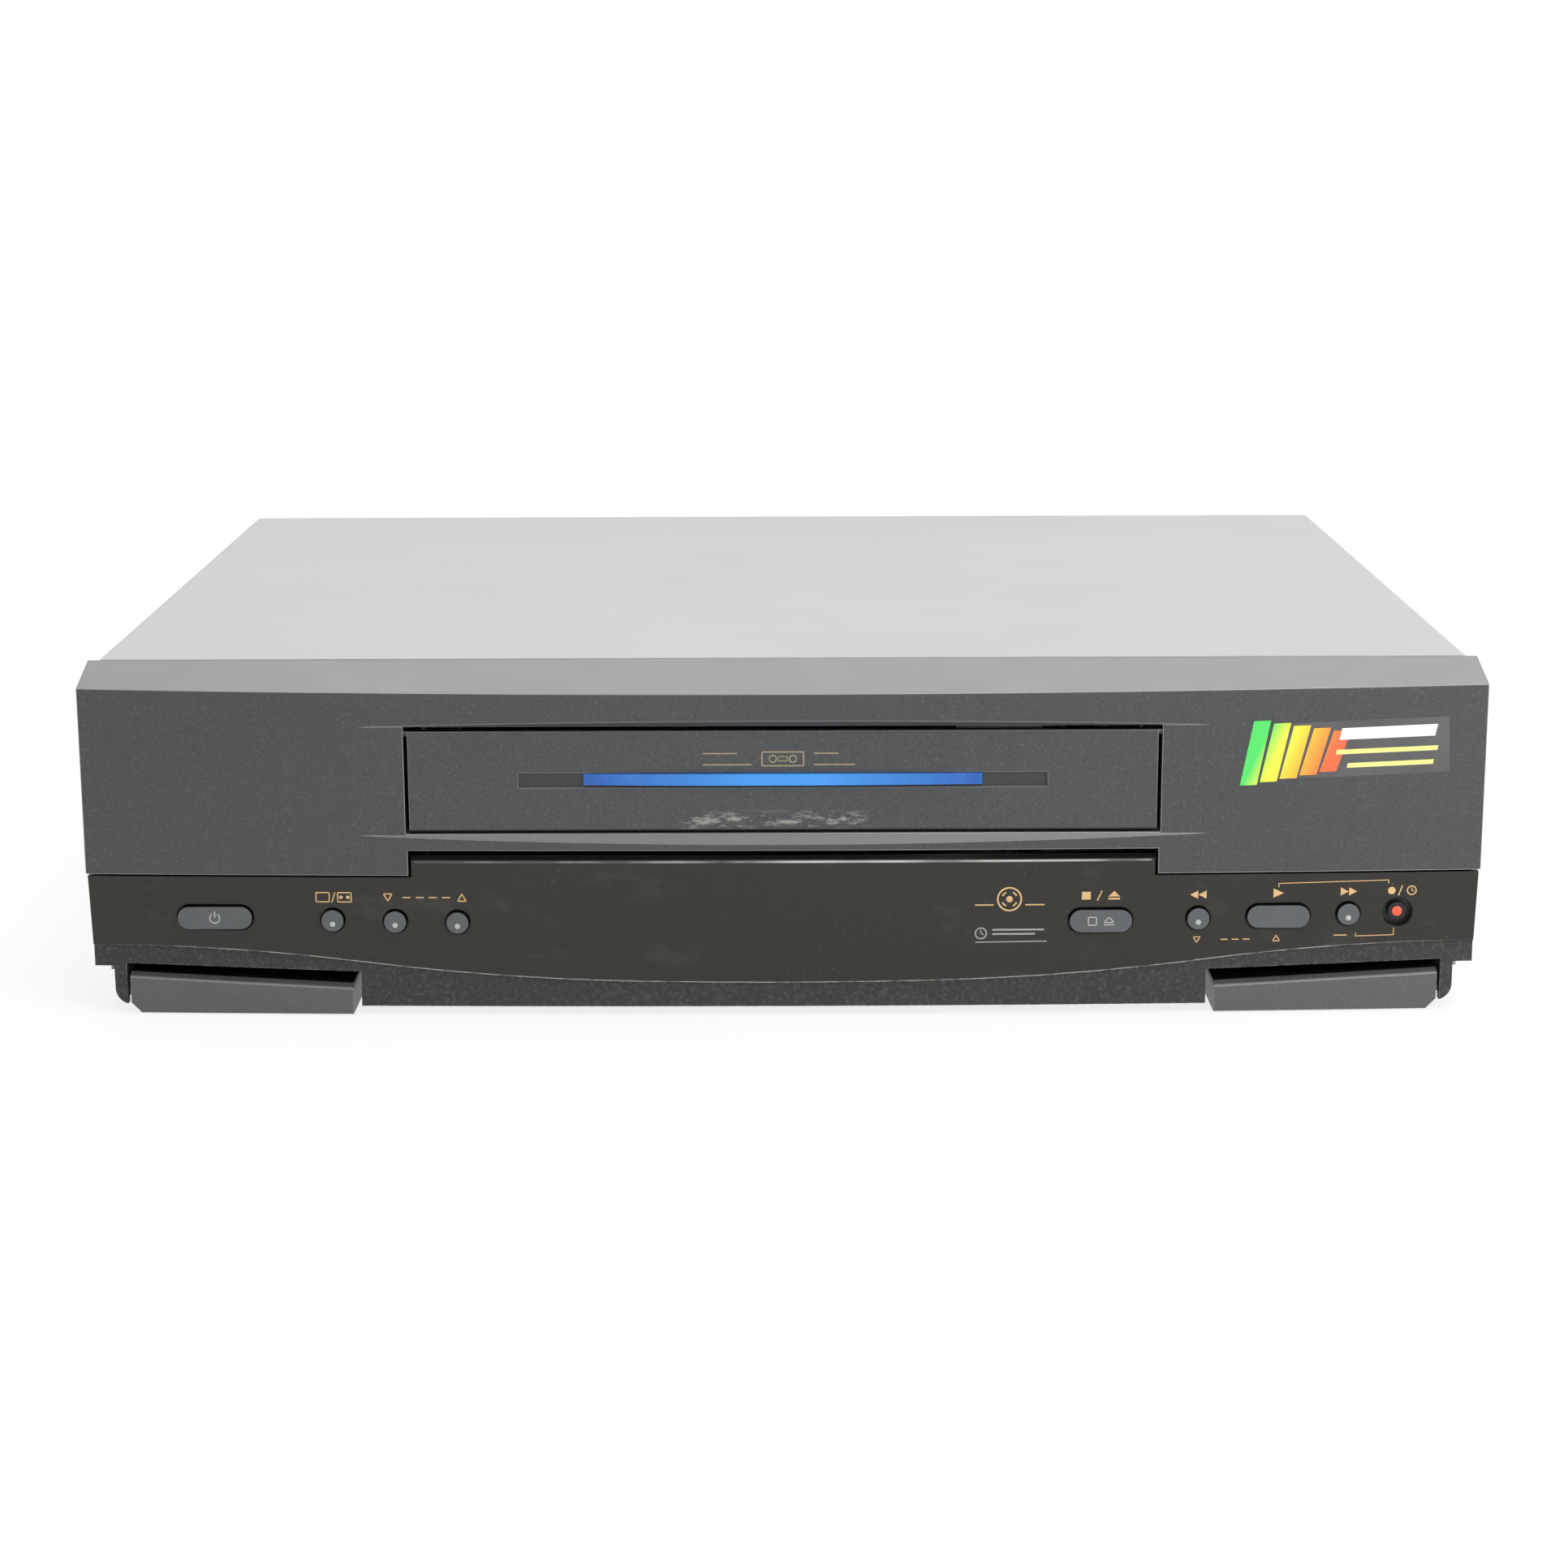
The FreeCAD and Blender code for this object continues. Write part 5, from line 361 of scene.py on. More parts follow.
def skirt_plastic():
    """Dark plastic with the coarse spark-eroded grain of the skirt."""
    finish = Finish("skirt_grain", linear(46, 45, 45), 0.55)
    finish.soft_edges(0.3 * MM)
    grain = finish.noise(950, 3.0, 0.6)
    finish.tint(linear(88, 88, 88), finish.spread(grain, 0.52, 0.68, 0.0, 0.4))
    finish.tint(linear(28, 28, 28), finish.spread(grain, 0.34, 0.48, 0.4, 0.0))
    # Pale edges: part wear, part painted highlight.
    finish.tint(linear(116, 114, 110), finish.both(finish.edges(0.4 * MM), finish.spread(grain, 0.4, 0.6)))
    finish.tint(linear(120, 117, 112), finish.spread(finish.cells(300), 0.03, 0.06, 0.25, 0.0))
    finish.relief(grain, 0.12 * MM, 0.7)
    return finish


def plain_plastic(name, colour, roughness, edge=0.2 * MM):
    """Moulded plastic with a slight cloud in its colour and a faint skin."""
    finish = Finish(name, colour, roughness)
    finish.soft_edges(edge)
    finish.tint(darker(colour, 0.8), finish.spread(finish.noise(120, 4.0), 0.35, 0.75, 0.0, 0.6))
    finish.gloss(finish.noise(300, 3.0), roughness - 0.06, roughness + 0.08)
    finish.relief(finish.noise(1800, 2.0), 0.03 * MM, 0.3)
    return finish


def sheet_metal(name, colour, roughness=0.34, along=(1.0, 30.0, 30.0)):
    """Plated sheet with rolling lines and cloudy spangle."""
    finish = Finish(name, colour, roughness, metallic=1.0)
    finish.soft_edges(0.25 * MM)
    lines = finish.noise(40, 5.0, 0.6, along)
    finish.tint(darker(colour, 0.72), finish.spread(lines, 0.35, 0.7, 0.0, 0.6))
    finish.tint(darker(colour, 0.6), finish.spread(finish.cells(120), 0.2, 0.7, 0.0, 0.35))
    finish.gloss(lines, roughness - 0.08, roughness + 0.12)
    return finish


def turned_metal(name, colour, roughness):
    """Ground and polished metal with fine rings."""
    finish = Finish(name, colour, roughness, metallic=1.0)
    finish.soft_edges(0.2 * MM)
    rings = finish.noise(30, 4.0, 0.6, (1.0, 1.0, 60.0))
    finish.tint(darker(colour, 0.75), finish.spread(rings, 0.4, 0.7, 0.0, 0.5))
    finish.gloss(rings, roughness - 0.06, roughness + 0.1)
    return finish


def circuit_board():
    """Brown board with copper runs under the lacquer and bright solder points."""
    finish = Finish("circuit_board", linear(150, 118, 70), 0.4, coat=0.3)
    runs = finish.cells(150, (1.0, 2.0, 1.0), 0.25)
    finish.tint(linear(112, 96, 52), finish.spread(runs, 0.28, 0.34, 0.0, 0.7))
    solder = finish.cells(210, randomness=0.5)
    finish.tint(linear(190, 186, 176), finish.spread(solder, 0.09, 0.12, 0.9, 0.0))
    finish.relief(runs, 0.08 * MM, 0.5)
    return finish


def dusty_rubber():
    """Black rubber with a dusty bloom."""
    finish = Finish("black_rubber", linear(34, 34, 34), 0.8)
    finish.tint(linear(70, 69, 66), finish.spread(finish.noise(180, 5.0), 0.5, 0.8, 0.0, 0.6))
    finish.relief(finish.noise(1500, 3.0), 0.06 * MM, 0.6)
    return finish


def accent_blue():
    """Clear blue plastic, lighter in the middle of the bar and darker at its ends."""
    finish = Finish("accent_blue", linear(50, 139, 220), 0.25, coat=0.4)
    ends = finish.spread(finish.maths("ABSOLUTE", finish.axis("X")), 8 * MM, 52 * MM)
    finish.tint(linear(4, 81, 165), ends)
    finish.tint(linear(110, 176, 248), finish.spread(finish.noise(90, 3.0), 0.55, 0.8, 0.0, 0.2))
    return finish


def display_glass():
    """Smoked glass of the fluorescent display, with a grid of faint digits behind it."""
    finish = Finish("display_glass", linear(26, 44, 42), 0.08, coat=0.6)
    grid = finish.cells(95, randomness=0.0)
    finish.tint(linear(58, 88, 82), finish.spread(grid, 0.25, 0.32, 0.7, 0.0))
    return finish


def dress(finish, *names):
    """Put one finish on several nodes in place of what they came with."""
    for name in names:
        slots = nodes[name].data.materials
        slots.clear()
        slots.append(finish.material)


zinc = sheet_metal("zinc_sheet", linear(176, 174, 168))
tin = sheet_metal("tinned_sheet", linear(196, 194, 188), 0.26)
key_finish = plain_plastic("key_plastic", linear(84, 87, 89), 0.35, 0.5 * MM)
add_dark_sides(key_finish)
black_plastic = plain_plastic("black_plastic", linear(30, 30, 31), 0.45)
acetal = plain_plastic("white_acetal", linear(214, 212, 202), 0.35)
ferrite = plain_plastic("grey_ferrite", linear(66, 63, 60), 0.6)
polished = turned_metal("polished_metal", linear(168, 168, 171), 0.3)
KEYS = [name for name in nodes if name.endswith("_button")]

dress(silver, "front_panel")
dress(door_finish, "cassette_door")
dress(foot_finish, "front_foot_left", "front_foot_right")
dress(control_gloss(), "control_panel")
dress(skirt_plastic(), "base_frame")
dress(cover_paint(), "top_cover")
dress(accent_blue(), "door_accent_bar")
dress(key_finish, *KEYS)
dress(plain_plastic("record_key_plastic", linear(24, 23, 22), 0.3, 0.4 * MM), "record_button")
dress(dusty_rubber(), "foot_pads", "pinch_roller")
dress(zinc, "bottom_plate", "rear_panel", "cord_plate", "deck_plate", "pinch_arm")
dress(zinc, "carriage_side_left", "carriage_side_right", "carriage_bridge", "cassette_holder")
dress(tin, "tuner_can", "loading_motor", "av_jacks")
dress(polished, "lower_drum", "upper_drum", "capstan", "sync_shaft")
dress(sheet_metal("extruded_aluminium", linear(170, 171, 174), 0.4, (30.0, 30.0, 1.0)), "heat_sink")
dress(circuit_board(), "main_board", "key_board")
dress(black_plastic, "board_parts", "key_switches", "cord_gland", "supply_reel", "takeup_reel")
dress(ferrite, "power_transformer", "erase_head", "audio_head")
dress(display_glass(), "display_tube")
dress(acetal, "cam_gear", "loading_pinion", "rack_left", "rack_right", "supply_guide", "takeup_guide")


def add_piece(name, places, faces, finish, body, smooth=False):
    """A mesh from whole arrays, finished, riding on a body."""
    mesh = bpy.data.meshes.new(name)
    mesh.from_pydata(np.asarray(places, float).tolist(), [], np.asarray(faces, int).tolist())
    mesh.polygons.foreach_set("use_smooth", np.full(len(mesh.polygons), smooth))
    mesh.update()
    piece = bpy.data.objects.new(name, mesh)
    bpy.context.scene.collection.objects.link(piece)
    mesh.materials.append(finish.material)
    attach(piece, body)


def grid_faces(rows, columns, close=False):
    """Quads over a grid of rows by columns, whose last column joins the first where asked."""
    column = np.arange(columns if close else columns - 1)
    here, along = np.meshgrid(np.arange(rows - 1) * columns, column, indexing="ij")
    beside = (along + 1) % columns
    below = here + columns
    corners = (here + along, here + beside, below + beside, below + along)
    return np.stack([corner.ravel() for corner in corners], axis=1)


def joined(parts):
    """Several (places, faces) pairs as one."""
    places = np.concatenate([part[0] for part in parts])
    starts = np.cumsum([0] + [len(part[0]) for part in parts[:-1]])
    faces = np.concatenate([part[1] + start for part, start in zip(parts, starts)])
    return places, faces


def turned(profile, sides, centre):
    """A profile of radius and height turned round the Y axis: x = r cos a, y = height, z = r sin a."""
    radius, height = np.asarray(profile, float).T
    angle = np.linspace(0, 2 * np.pi, sides, endpoint=False)
    across = np.outer(radius, np.cos(angle))
    upward = np.outer(radius, np.sin(angle))
    along = np.repeat(height[:, None], sides, axis=1)
    places = np.stack([part.ravel() for part in (across, along, upward)], axis=1) + np.asarray(centre, float)
    return places, grid_faces(len(radius), sides, close=True)


# Printing: flat strokes and patches drawn in x and z, in millimetres, laid just off the surface under them
def band(points, width):
    """A stroke of even width: each point is moved half a width to both sides, square to the path."""
    path = np.asarray(points, float)
    along = np.gradient(path, axis=0)
    along = along / np.linalg.norm(along, axis=1)[:, None]
    side = np.stack([-along[:, 1], along[:, 0]], axis=1) * width / 2
    flat = np.stack([path - side, path + side], axis=1).reshape(-1, 2)
    return flat, grid_faces(len(path), 2)


def straight(x1, z1, x2, z2, width, steps=7):
    """A stroke from one point to another, in even steps."""
    share = np.linspace(0, 1, steps)[:, None]
    return band(np.array([[x1, z1]]) * (1 - share) + np.array([[x2, z2]]) * share, width)


def bent(x, z, radius, first, last, width, steps=40):
    """A stroke along an arc between two angles in degrees."""
    angle = np.radians(np.linspace(first, last, steps))
    return band(np.stack([x + radius * np.cos(angle), z + radius * np.sin(angle)], axis=1), width)


def patch(corners, rows=3, columns=9):
    """Four corners filled by a bilinear grid, so that it can follow the bow."""
    a, b, c, d = [np.asarray(corner, float) for corner in corners]
    u = np.linspace(0, 1, columns)[None, :, None]
    v = np.linspace(0, 1, rows)[:, None, None]
    flat = (a * (1 - u) + b * u) * (1 - v) + (d * (1 - u) + c * u) * v
    return flat.reshape(-1, 2), grid_faces(rows, columns)


def triangle(x, z, width, height, point="up"):
    """A solid arrow head about its middle."""
    w, h = width / 2, height / 2
    shapes = {
        "up": ((x - w, z - h), (x + w, z - h), (x, z + h), (x, z + h)),
        "right": ((x - w, z - h), (x + w, z), (x + w, z), (x - w, z + h)),
        "left": ((x + w, z - h), (x + w, z + h), (x - w, z), (x - w, z)),
    }
    return patch(shapes[point], 5, 5)


def hollow_triangle(x, z, width, height, stroke, point="up"):
    """The outline of an arrow head."""
    w = width / 2
    tip, foot = (z + height / 2, z - height / 2) if point == "up" else (z - height / 2, z + height / 2)
    return [
        straight(x - w, foot, x, tip, stroke),
        straight(x, tip, x + w, foot, stroke),
        straight(x - w, foot, x + w, foot, stroke),
    ]


def disc(x, z, radius, steps=20):
    """A filled circle: rings of points from the middle out."""
    ring = np.linspace(0, 1, 3)[:, None]
    angle = np.linspace(0, 2 * np.pi, steps, endpoint=False)[None, :]
    flat = np.stack([x + radius * ring * np.cos(angle), z + radius * ring * np.sin(angle)], axis=2)
    return flat.reshape(-1, 2), grid_faces(3, steps, close=True)


def frame_lines(left, right, low, high, width):
    """The outline of a rectangle."""
    return [
        straight(left, low, right, low, width),
        straight(right, low, right, high, width),
        straight(right, high, left, high, width),
        straight(left, high, left, low, width),
    ]


def lay(name, parts, depth, finish, body="chassis", turn=0.0, about=(0, 0)):
    """Printing laid on a front: y is the depth at x, less the height of the ink. It faces the front."""
    flat, faces = joined(parts)
    flat = flat * MM
    if turn:
        middle = np.asarray(about) * MM
        cos, sin = math.cos(math.radians(turn)), math.sin(math.radians(turn))
        flat = (flat - middle) @ np.array([[cos, sin], [-sin, cos]]) + middle
    y = depth(flat[:, 0]) - PRINT_HEIGHT
    places = np.stack([flat[:, 0], y, flat[:, 1]], axis=1)
    corner = places[faces]
    facing = np.cross(corner[:, 1] - corner[:, 0], corner[:, 3] - corner[:, 0])
    facing += np.cross(corner[:, 2] - corner[:, 1], corner[:, 3] - corner[:, 2])
    faces = np.where(facing[:, 1:2] > 0, faces[:, ::-1], faces)
    add_piece(name, places, faces, finish, body)


def on_control(x):
    """Depth of the dark panel at x."""
    return bow(x, CONTROL_SETBACK)


def on_flat(depth):
    """The same depth at every x, as on the door or a key."""
    return lambda x: np.full_like(x, depth)


def ink(name, colour, roughness=0.45, wear=0.35):
    """Printing ink, thin in places."""
    finish = Finish(name, colour, roughness)
    finish.tint(darker(colour, 0.55), finish.spread(finish.noise(700, 4.0), 0.5, 0.75, 0.0, wear))
    return finish


gold_ink = ink("gold_ink", linear(205, 168, 118))
silver_ink = ink("silver_ink", linear(150, 150, 148))
pale_ink = ink("pale_ink", linear(168, 166, 158))

THIN = 0.32
LEGEND_Z = 33.6
LOWER_Z = 20.9

# Legends over the keys, as plain transport signs
lay("source_legend", [
    *frame_lines(-127.2, -123.6, 32.3, 34.9, THIN),
    straight(-122.9, 32.2, -122.0, 35.0, THIN),
    *frame_lines(-121.3, -117.6, 32.3, 34.9, THIN),
    disc(-120.4, LEGEND_Z, 0.5),
    disc(-118.5, LEGEND_Z, 0.5),
], on_control, gold_ink)
lay("channel_legend", [
    *hollow_triangle(-107.6, LEGEND_Z, 2.3, 2.0, THIN, "down"),
    *[straight(x, LEGEND_Z, x + 2.2, LEGEND_Z, THIN) for x in (-103.6, -100.0, -96.4, -92.8)],
    *hollow_triangle(-87.4, LEGEND_Z, 2.3, 2.0, THIN, "up"),
], on_control, gold_ink)
lay("stop_legend", [
    patch(((81.2, 32.5), (83.6, 32.5), (83.6, 34.7), (81.2, 34.7))),
    straight(85.4, 32.2, 86.7, 35.0, THIN),
    triangle(90.0, 34.1, 3.2, 1.6),
    straight(88.4, 32.7, 91.6, 32.7, 0.5),
], on_control, gold_ink)
lay("rewind_legend", [
    triangle(111.8, LEGEND_Z, 2.2, 2.3, "left"),
    triangle(114.1, LEGEND_Z, 2.2, 2.3, "left"),
], on_control, gold_ink)
lay("play_legend", [triangle(134.9, LEGEND_Z + 0.2, 2.8, 2.6, "right")], on_control, gold_ink)
lay("forward_legend", [
    triangle(153.0, LEGEND_Z + 0.4, 2.2, 2.3, "right"),
    triangle(155.3, LEGEND_Z + 0.4, 2.2, 2.3, "right"),
], on_control, gold_ink)
lay("record_legend", [
    disc(165.9, LEGEND_Z + 0.5, 1.05),
    straight(167.8, 32.7, 168.8, 35.5, THIN),
    bent(171.4, LEGEND_Z + 0.5, 1.2, 0, 360, THIN),
    straight(171.4, LEGEND_Z + 0.5, 171.4, LEGEND_Z + 1.3, 0.26),
    straight(171.4, LEGEND_Z + 0.5, 172.0, LEGEND_Z + 0.3, 0.26),
], on_control, gold_ink)
lay("play_to_record_line", [
    straight(134.9, 36.5, 165.0, 37.1, 0.22, 15),
    straight(134.9, 36.6, 134.9, 35.4, 0.22),
    straight(165.0, 37.2, 165.0, 36.1, 0.22),
], on_control, gold_ink)
lay("lower_legends", [
    *hollow_triangle(112.8, LOWER_Z, 1.9, 1.6, 0.26, "down"),
    *[straight(x, LOWER_Z, x + 1.9, LOWER_Z, 0.3) for x in (119.4, 122.4, 125.4)],
    *hollow_triangle(134.6, LOWER_Z + 0.2, 1.9, 1.6, 0.26, "up"),
    straight(150.4, LOWER_Z + 0.8, 154.0, LOWER_Z + 0.8, 0.3),
    straight(156.4, LOWER_Z + 0.4, 156.4, LOWER_Z + 1.4, 0.22),
    straight(156.4, LOWER_Z + 0.5, 166.8, LOWER_Z + 0.7, 0.22, 9),
    straight(166.8, LOWER_Z + 0.6, 166.8, LOWER_Z + 2.6, 0.22),
], on_control, gold_ink)

# Two plain signs on the dark panel: a head drum with its tape, and a timer over a rule
DRUM_X, DRUM_Z = 61.5, 32.8
lay("head_drum_sign", [
    bent(DRUM_X, DRUM_Z, 3.2, 0, 360, 0.45),
    disc(DRUM_X, DRUM_Z, 0.9),
    *[bent(DRUM_X, DRUM_Z, 2.1, start, start + 40, 0.4, 9) for start in (25, 115, 205, 295)],
    straight(DRUM_X - 9.4, DRUM_Z - 1.6, DRUM_X - 4.3, DRUM_Z - 1.6, 0.34),
    straight(DRUM_X + 4.3, DRUM_Z - 1.6, DRUM_X + 9.6, DRUM_Z - 1.6, 0.34),
], on_control, gold_ink)
lay("timer_sign", [
    bent(53.8, 23.2, 1.5, 0, 360, 0.36),
    straight(53.8, 23.2, 53.8, 24.2, 0.3),
    straight(53.8, 23.2, 54.6, 22.9, 0.3),
    *[straight(56.9, z, 71.0 - 2.4 * step, z, 0.5) for step, z in enumerate((24.2, 23.0))],
    straight(52.3, 20.7, 71.8, 20.9, 0.3, 11),
], on_control, silver_ink)

# Cassette sign between two rules on the door
lay("cassette_sign", [
    *frame_lines(-5.6, 5.6, 70.0, 73.8, 0.34),
    bent(-2.7, 71.9, 0.95, 0, 360, 0.3),
    bent(2.7, 71.9, 0.95, 0, 360, 0.3),
    *frame_lines(-1.2, 1.2, 71.3, 72.5, 0.24),
    straight(-21.5, 70.3, -8.4, 70.3, 0.34, 9),
    straight(-21.5, 73.4, -12.4, 73.4, 0.34, 9),
    straight(8.4, 70.3, 19.5, 70.3, 0.34, 9),
    straight(8.4, 73.4, 15.0, 73.4, 0.34, 9),
], on_flat(door_low[1]), ink("door_ink", linear(158, 140, 116)), "cassette_door")


# Label: a smoky film, slanted bands and plain rules, each laid over the one before
STICKER_TURN = 2.0
STICKER_MIDDLE = (151.0, 73.4)
BAND_SLANT = 0.45
BANDS_LEFT = 128.0
BANDS_MIDDLE_Z = 73.0
BAND_PITCH = 5.4


def sticker_film():
    """Clear dark film with a gloss of its own."""
    finish = Finish("sticker_film", linear(70, 68, 70), 0.2, coat=0.6)
    finish.tint(linear(96, 94, 92), finish.spread(finish.noise(60, 4.0), 0.4, 0.75, 0.0, 0.5))
    return finish


def sticker_rainbow():
    """Green at the left, through yellow, to orange, in soft slanted bands."""
    finish = Finish("sticker_rainbow", linear(70, 205, 90), 0.25, coat=0.5)
    slant = finish.maths("ADD", finish.axis("X"), finish.both(finish.axis("Z"), -BAND_SLANT))
    start = (BANDS_LEFT - BAND_SLANT * BANDS_MIDDLE_Z) * MM
    finish.tint(linear(228, 232, 60), finish.spread(slant, start, start + 6 * MM))
    finish.tint(linear(244, 170, 40), finish.spread(slant, start + 6 * MM, start + 13 * MM))
    finish.tint(linear(232, 96, 52), finish.spread(slant, start + 13 * MM, start + 20 * MM))
    return finish


def slanted(left, right, low, high, lean=4.0):
    """A leaning bar from a low left corner."""
    return patch(((left, low), (right, low), (right + lean, high), (left + lean, high)), 5, 9)


def stick(name, parts, layers_under, finish):
    """One layer of the label on the silver panel, turned with it, over the layers already there."""
    lay(
        name, parts, lambda x: bow(x, -layers_under * PRINT_HEIGHT), finish,
        turn=STICKER_TURN, about=STICKER_MIDDLE,
    )


stick("sticker_film", [
    patch(((129.0, 66.2), (180.0, 66.2), (180.0, 81.6), (133.0, 81.6)), 5, 25),
], 0, sticker_film())
stick("sticker_bands", [
    slanted(123.0 + BAND_PITCH * step, 127.6 + BAND_PITCH * step, 65.0 + 0.7 * step, 82.6 - 0.9 * step)
    for step in range(5)
], 1, sticker_rainbow())
stick("sticker_rules", [
    slanted(150.0, 176.0, 76.4, 79.6, 0.8),
], 2, ink("white_ink", linear(226, 226, 228), 0.3, 0.1))
stick("sticker_lower_rules", [
    slanted(149.0, 176.6, 72.4, 73.7, 0.3),
    slanted(152.0, 175.4, 68.6, 69.9, 0.3),
], 2, ink("yellow_ink", linear(222, 216, 130), 0.3, 0.1))


def key_face(name):
    """The middle of a key's face: x, depth and z."""
    low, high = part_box(name)
    return (low[0] + high[0]) / 2, low[1], (low[2] + high[2]) / 2


# Signs and light lenses on the keys
KEY_INK_SUNK = 0.033 * MM
x, y, z = np.array(key_face("power_button")) / MM
lay("power_sign", [
    bent(x, z, 1.35, -235, 55, 0.36),
    straight(x, z + 0.2, x, z + 1.9, 0.36),
], on_flat(y * MM + KEY_INK_SUNK), pale_ink, "power_button")
x, y, z = np.array(key_face("stop_eject_button")) / MM
lay("stop_sign", [
    *frame_lines(x - 3.4, x - 1.2, z - 1.1, z + 1.1, 0.3),
    *hollow_triangle(x + 2.2, z + 0.4, 2.8, 1.5, 0.3),
    straight(x + 0.8, z - 1.0, x + 3.6, z - 1.0, 0.3),
], on_flat(y * MM + KEY_INK_SUNK), pale_ink, "stop_eject_button")


def dome_on(name, key, radius, rise, sunk, drop, finish):
    """A low round dome let into a key's face: radius times cos, rise times sin of a quarter turn."""
    x, y, z = key_face(key)
    angle = np.linspace(0, np.pi / 2, 7)
    profile = np.stack([radius * np.cos(angle), sunk - rise * np.sin(angle)], axis=1)
    places, faces = turned(profile, 24, (x, y, z - drop))
    add_piece(name, places, faces, finish, key, True)


lens_finish = plain_plastic("clear_lens", linear(176, 178, 178), 0.15)
for word in ("source", "channel_down", "channel_up", "rewind", "fast_forward"):
    key = word + "_button"
    dome_on(key + "_lens", key, 0.8 * MM, 0.08 * MM, 0.03 * MM, 0.9 * MM, lens_finish)
red_finish = plain_plastic("record_red", linear(238, 96, 66), 0.3)
dome_on("record_dot", "record_button", 1.4 * MM, 0.3 * MM, 0.0, 0.0, red_finish)


# Screws
bright_screw = turned_metal("screw_steel", linear(168, 166, 160), 0.25)
black_screw = plain_plastic("black_screw", linear(40, 40, 41), 0.3)


def screw_head(radius, rise):
    """A pan head: height falls with the fourth power of the radius, less a recess in a cross."""
    ring = np.linspace(1.0, 0.0, 15)
    angle = np.linspace(0, 2 * np.pi, 48, endpoint=False)
    spread, turn = np.meshgrid(ring, angle, indexing="ij")
    across, upward = spread * np.cos(turn), spread * np.sin(turn)
    height = rise * (1 - 0.55 * spread ** 4)
    reach = np.minimum(np.abs(across), np.abs(upward))
    cross = np.clip((0.15 - reach) / 0.05, 0, 1) * np.clip((0.62 - spread) / 0.08, 0, 1)
    height = height - cross * rise * 0.8
    rim_across, rim_upward = np.cos(angle), np.sin(angle)
    across = np.vstack([rim_across[None], across]) * radius
    upward = np.vstack([rim_upward[None], upward]) * radius
    height = np.vstack([np.zeros((1, len(angle))), height])
    return across, upward, height


def add_screw(name, centre, out, radius, rise, finish):
    """A screw head on a wall; out is the direction that it faces, along X, Y or Z."""
    across, upward, height = screw_head(radius, rise)
    axis = int(np.argmax(np.abs(out)))
    sign = out[axis]
    shape = np.zeros(height.shape + (3,))
    first, second = [(1, 2), (2, 0), (0, 1)][axis]
    shape[..., first] = across * sign
    shape[..., second] = upward
    shape[..., axis] = height * sign
    places = shape.reshape(-1, 3) + np.asarray(centre)
    faces = grid_faces(*height.shape, close=True)[:, ::-1]
    add_piece(name, places, faces, finish, "chassis", True)


BACKWARD, UPWARD = (0, 1, 0), (0, 0, 1)
COVER_SCREW_Z = 18 * MM
TAB_SCREW_X, TAB_SCREW_DROP = 120 * MM, 7.5 * MM
REAR_SCREW_X = 178 * MM
DECK_SCREW_X, DECK_TOP = 104 * MM, 20.5 * MM
for side, word, wall in ((-1, "left", cover_low[0]), (1, "right", cover_high[0])):
    for place, y in (("front", -92 * MM), ("back", 112 * MM)):
        name = "cover_screw_%s_%s" % (word, place)
        add_screw(name, (wall, y, COVER_SCREW_Z), (side, 0, 0), 3.6 * MM, 1.6 * MM, black_screw)
    tab_centre = (side * TAB_SCREW_X, cover_high[1], cover_high[2] - TAB_SCREW_DROP)
    add_screw("tab_screw_" + word, tab_centre, BACKWARD, 3.2 * MM, 1.6 * MM, black_screw)
    for place, z in (("low", 14 * MM), ("high", 84 * MM)):
        name = "rear_screw_%s_%s" % (word, place)
        add_screw(name, (side * REAR_SCREW_X, rear_face, z), BACKWARD, 3.0 * MM, 1.4 * MM, bright_screw)
for side, word in ((-1, "left"), (1, "right")):
    for place, y in (("front", -112 * MM), ("back", 88 * MM)):
        name = "deck_screw_%s_%s" % (word, place)
        add_screw(name, (side * DECK_SCREW_X, y, DECK_TOP), UPWARD, 2.8 * MM, 1.3 * MM, bright_screw)

# Rear sockets: threads, insulators, coloured collars and contact faces
nickel = turned_metal("nickel", linear(206, 202, 190), 0.2)
insulator = plain_plastic("white_insulator", linear(224, 222, 212), 0.4)


def threaded_sleeve(radius, start, end, pitch=0.8 * MM, depth=0.2 * MM):
    """A screw thread: radius rises and falls with the cosine of height over pitch plus the turn."""
    height = np.linspace(start, end, int((end - start) / pitch * 8) + 1)
    angle = np.linspace(0, 2 * np.pi, 36, endpoint=False)
    along, turn = np.meshgrid(height, angle, indexing="ij")
    ridge = radius + depth * 0.5 * (1 + np.cos(2 * np.pi * along / pitch + turn))
    ridge[0] = ridge[-1] = radius
    places = np.stack([ridge * np.cos(turn), along, ridge * np.sin(turn)], axis=2).reshape(-1, 3)
    return places, grid_faces(len(height), len(angle), close=True)


def socket_piece(name, places, faces, finish, smooth):
    """A turned piece at the rear: its faces are reversed, because its profile runs backward."""
    add_piece(name, places, faces[:, ::-1], finish, "chassis", smooth)


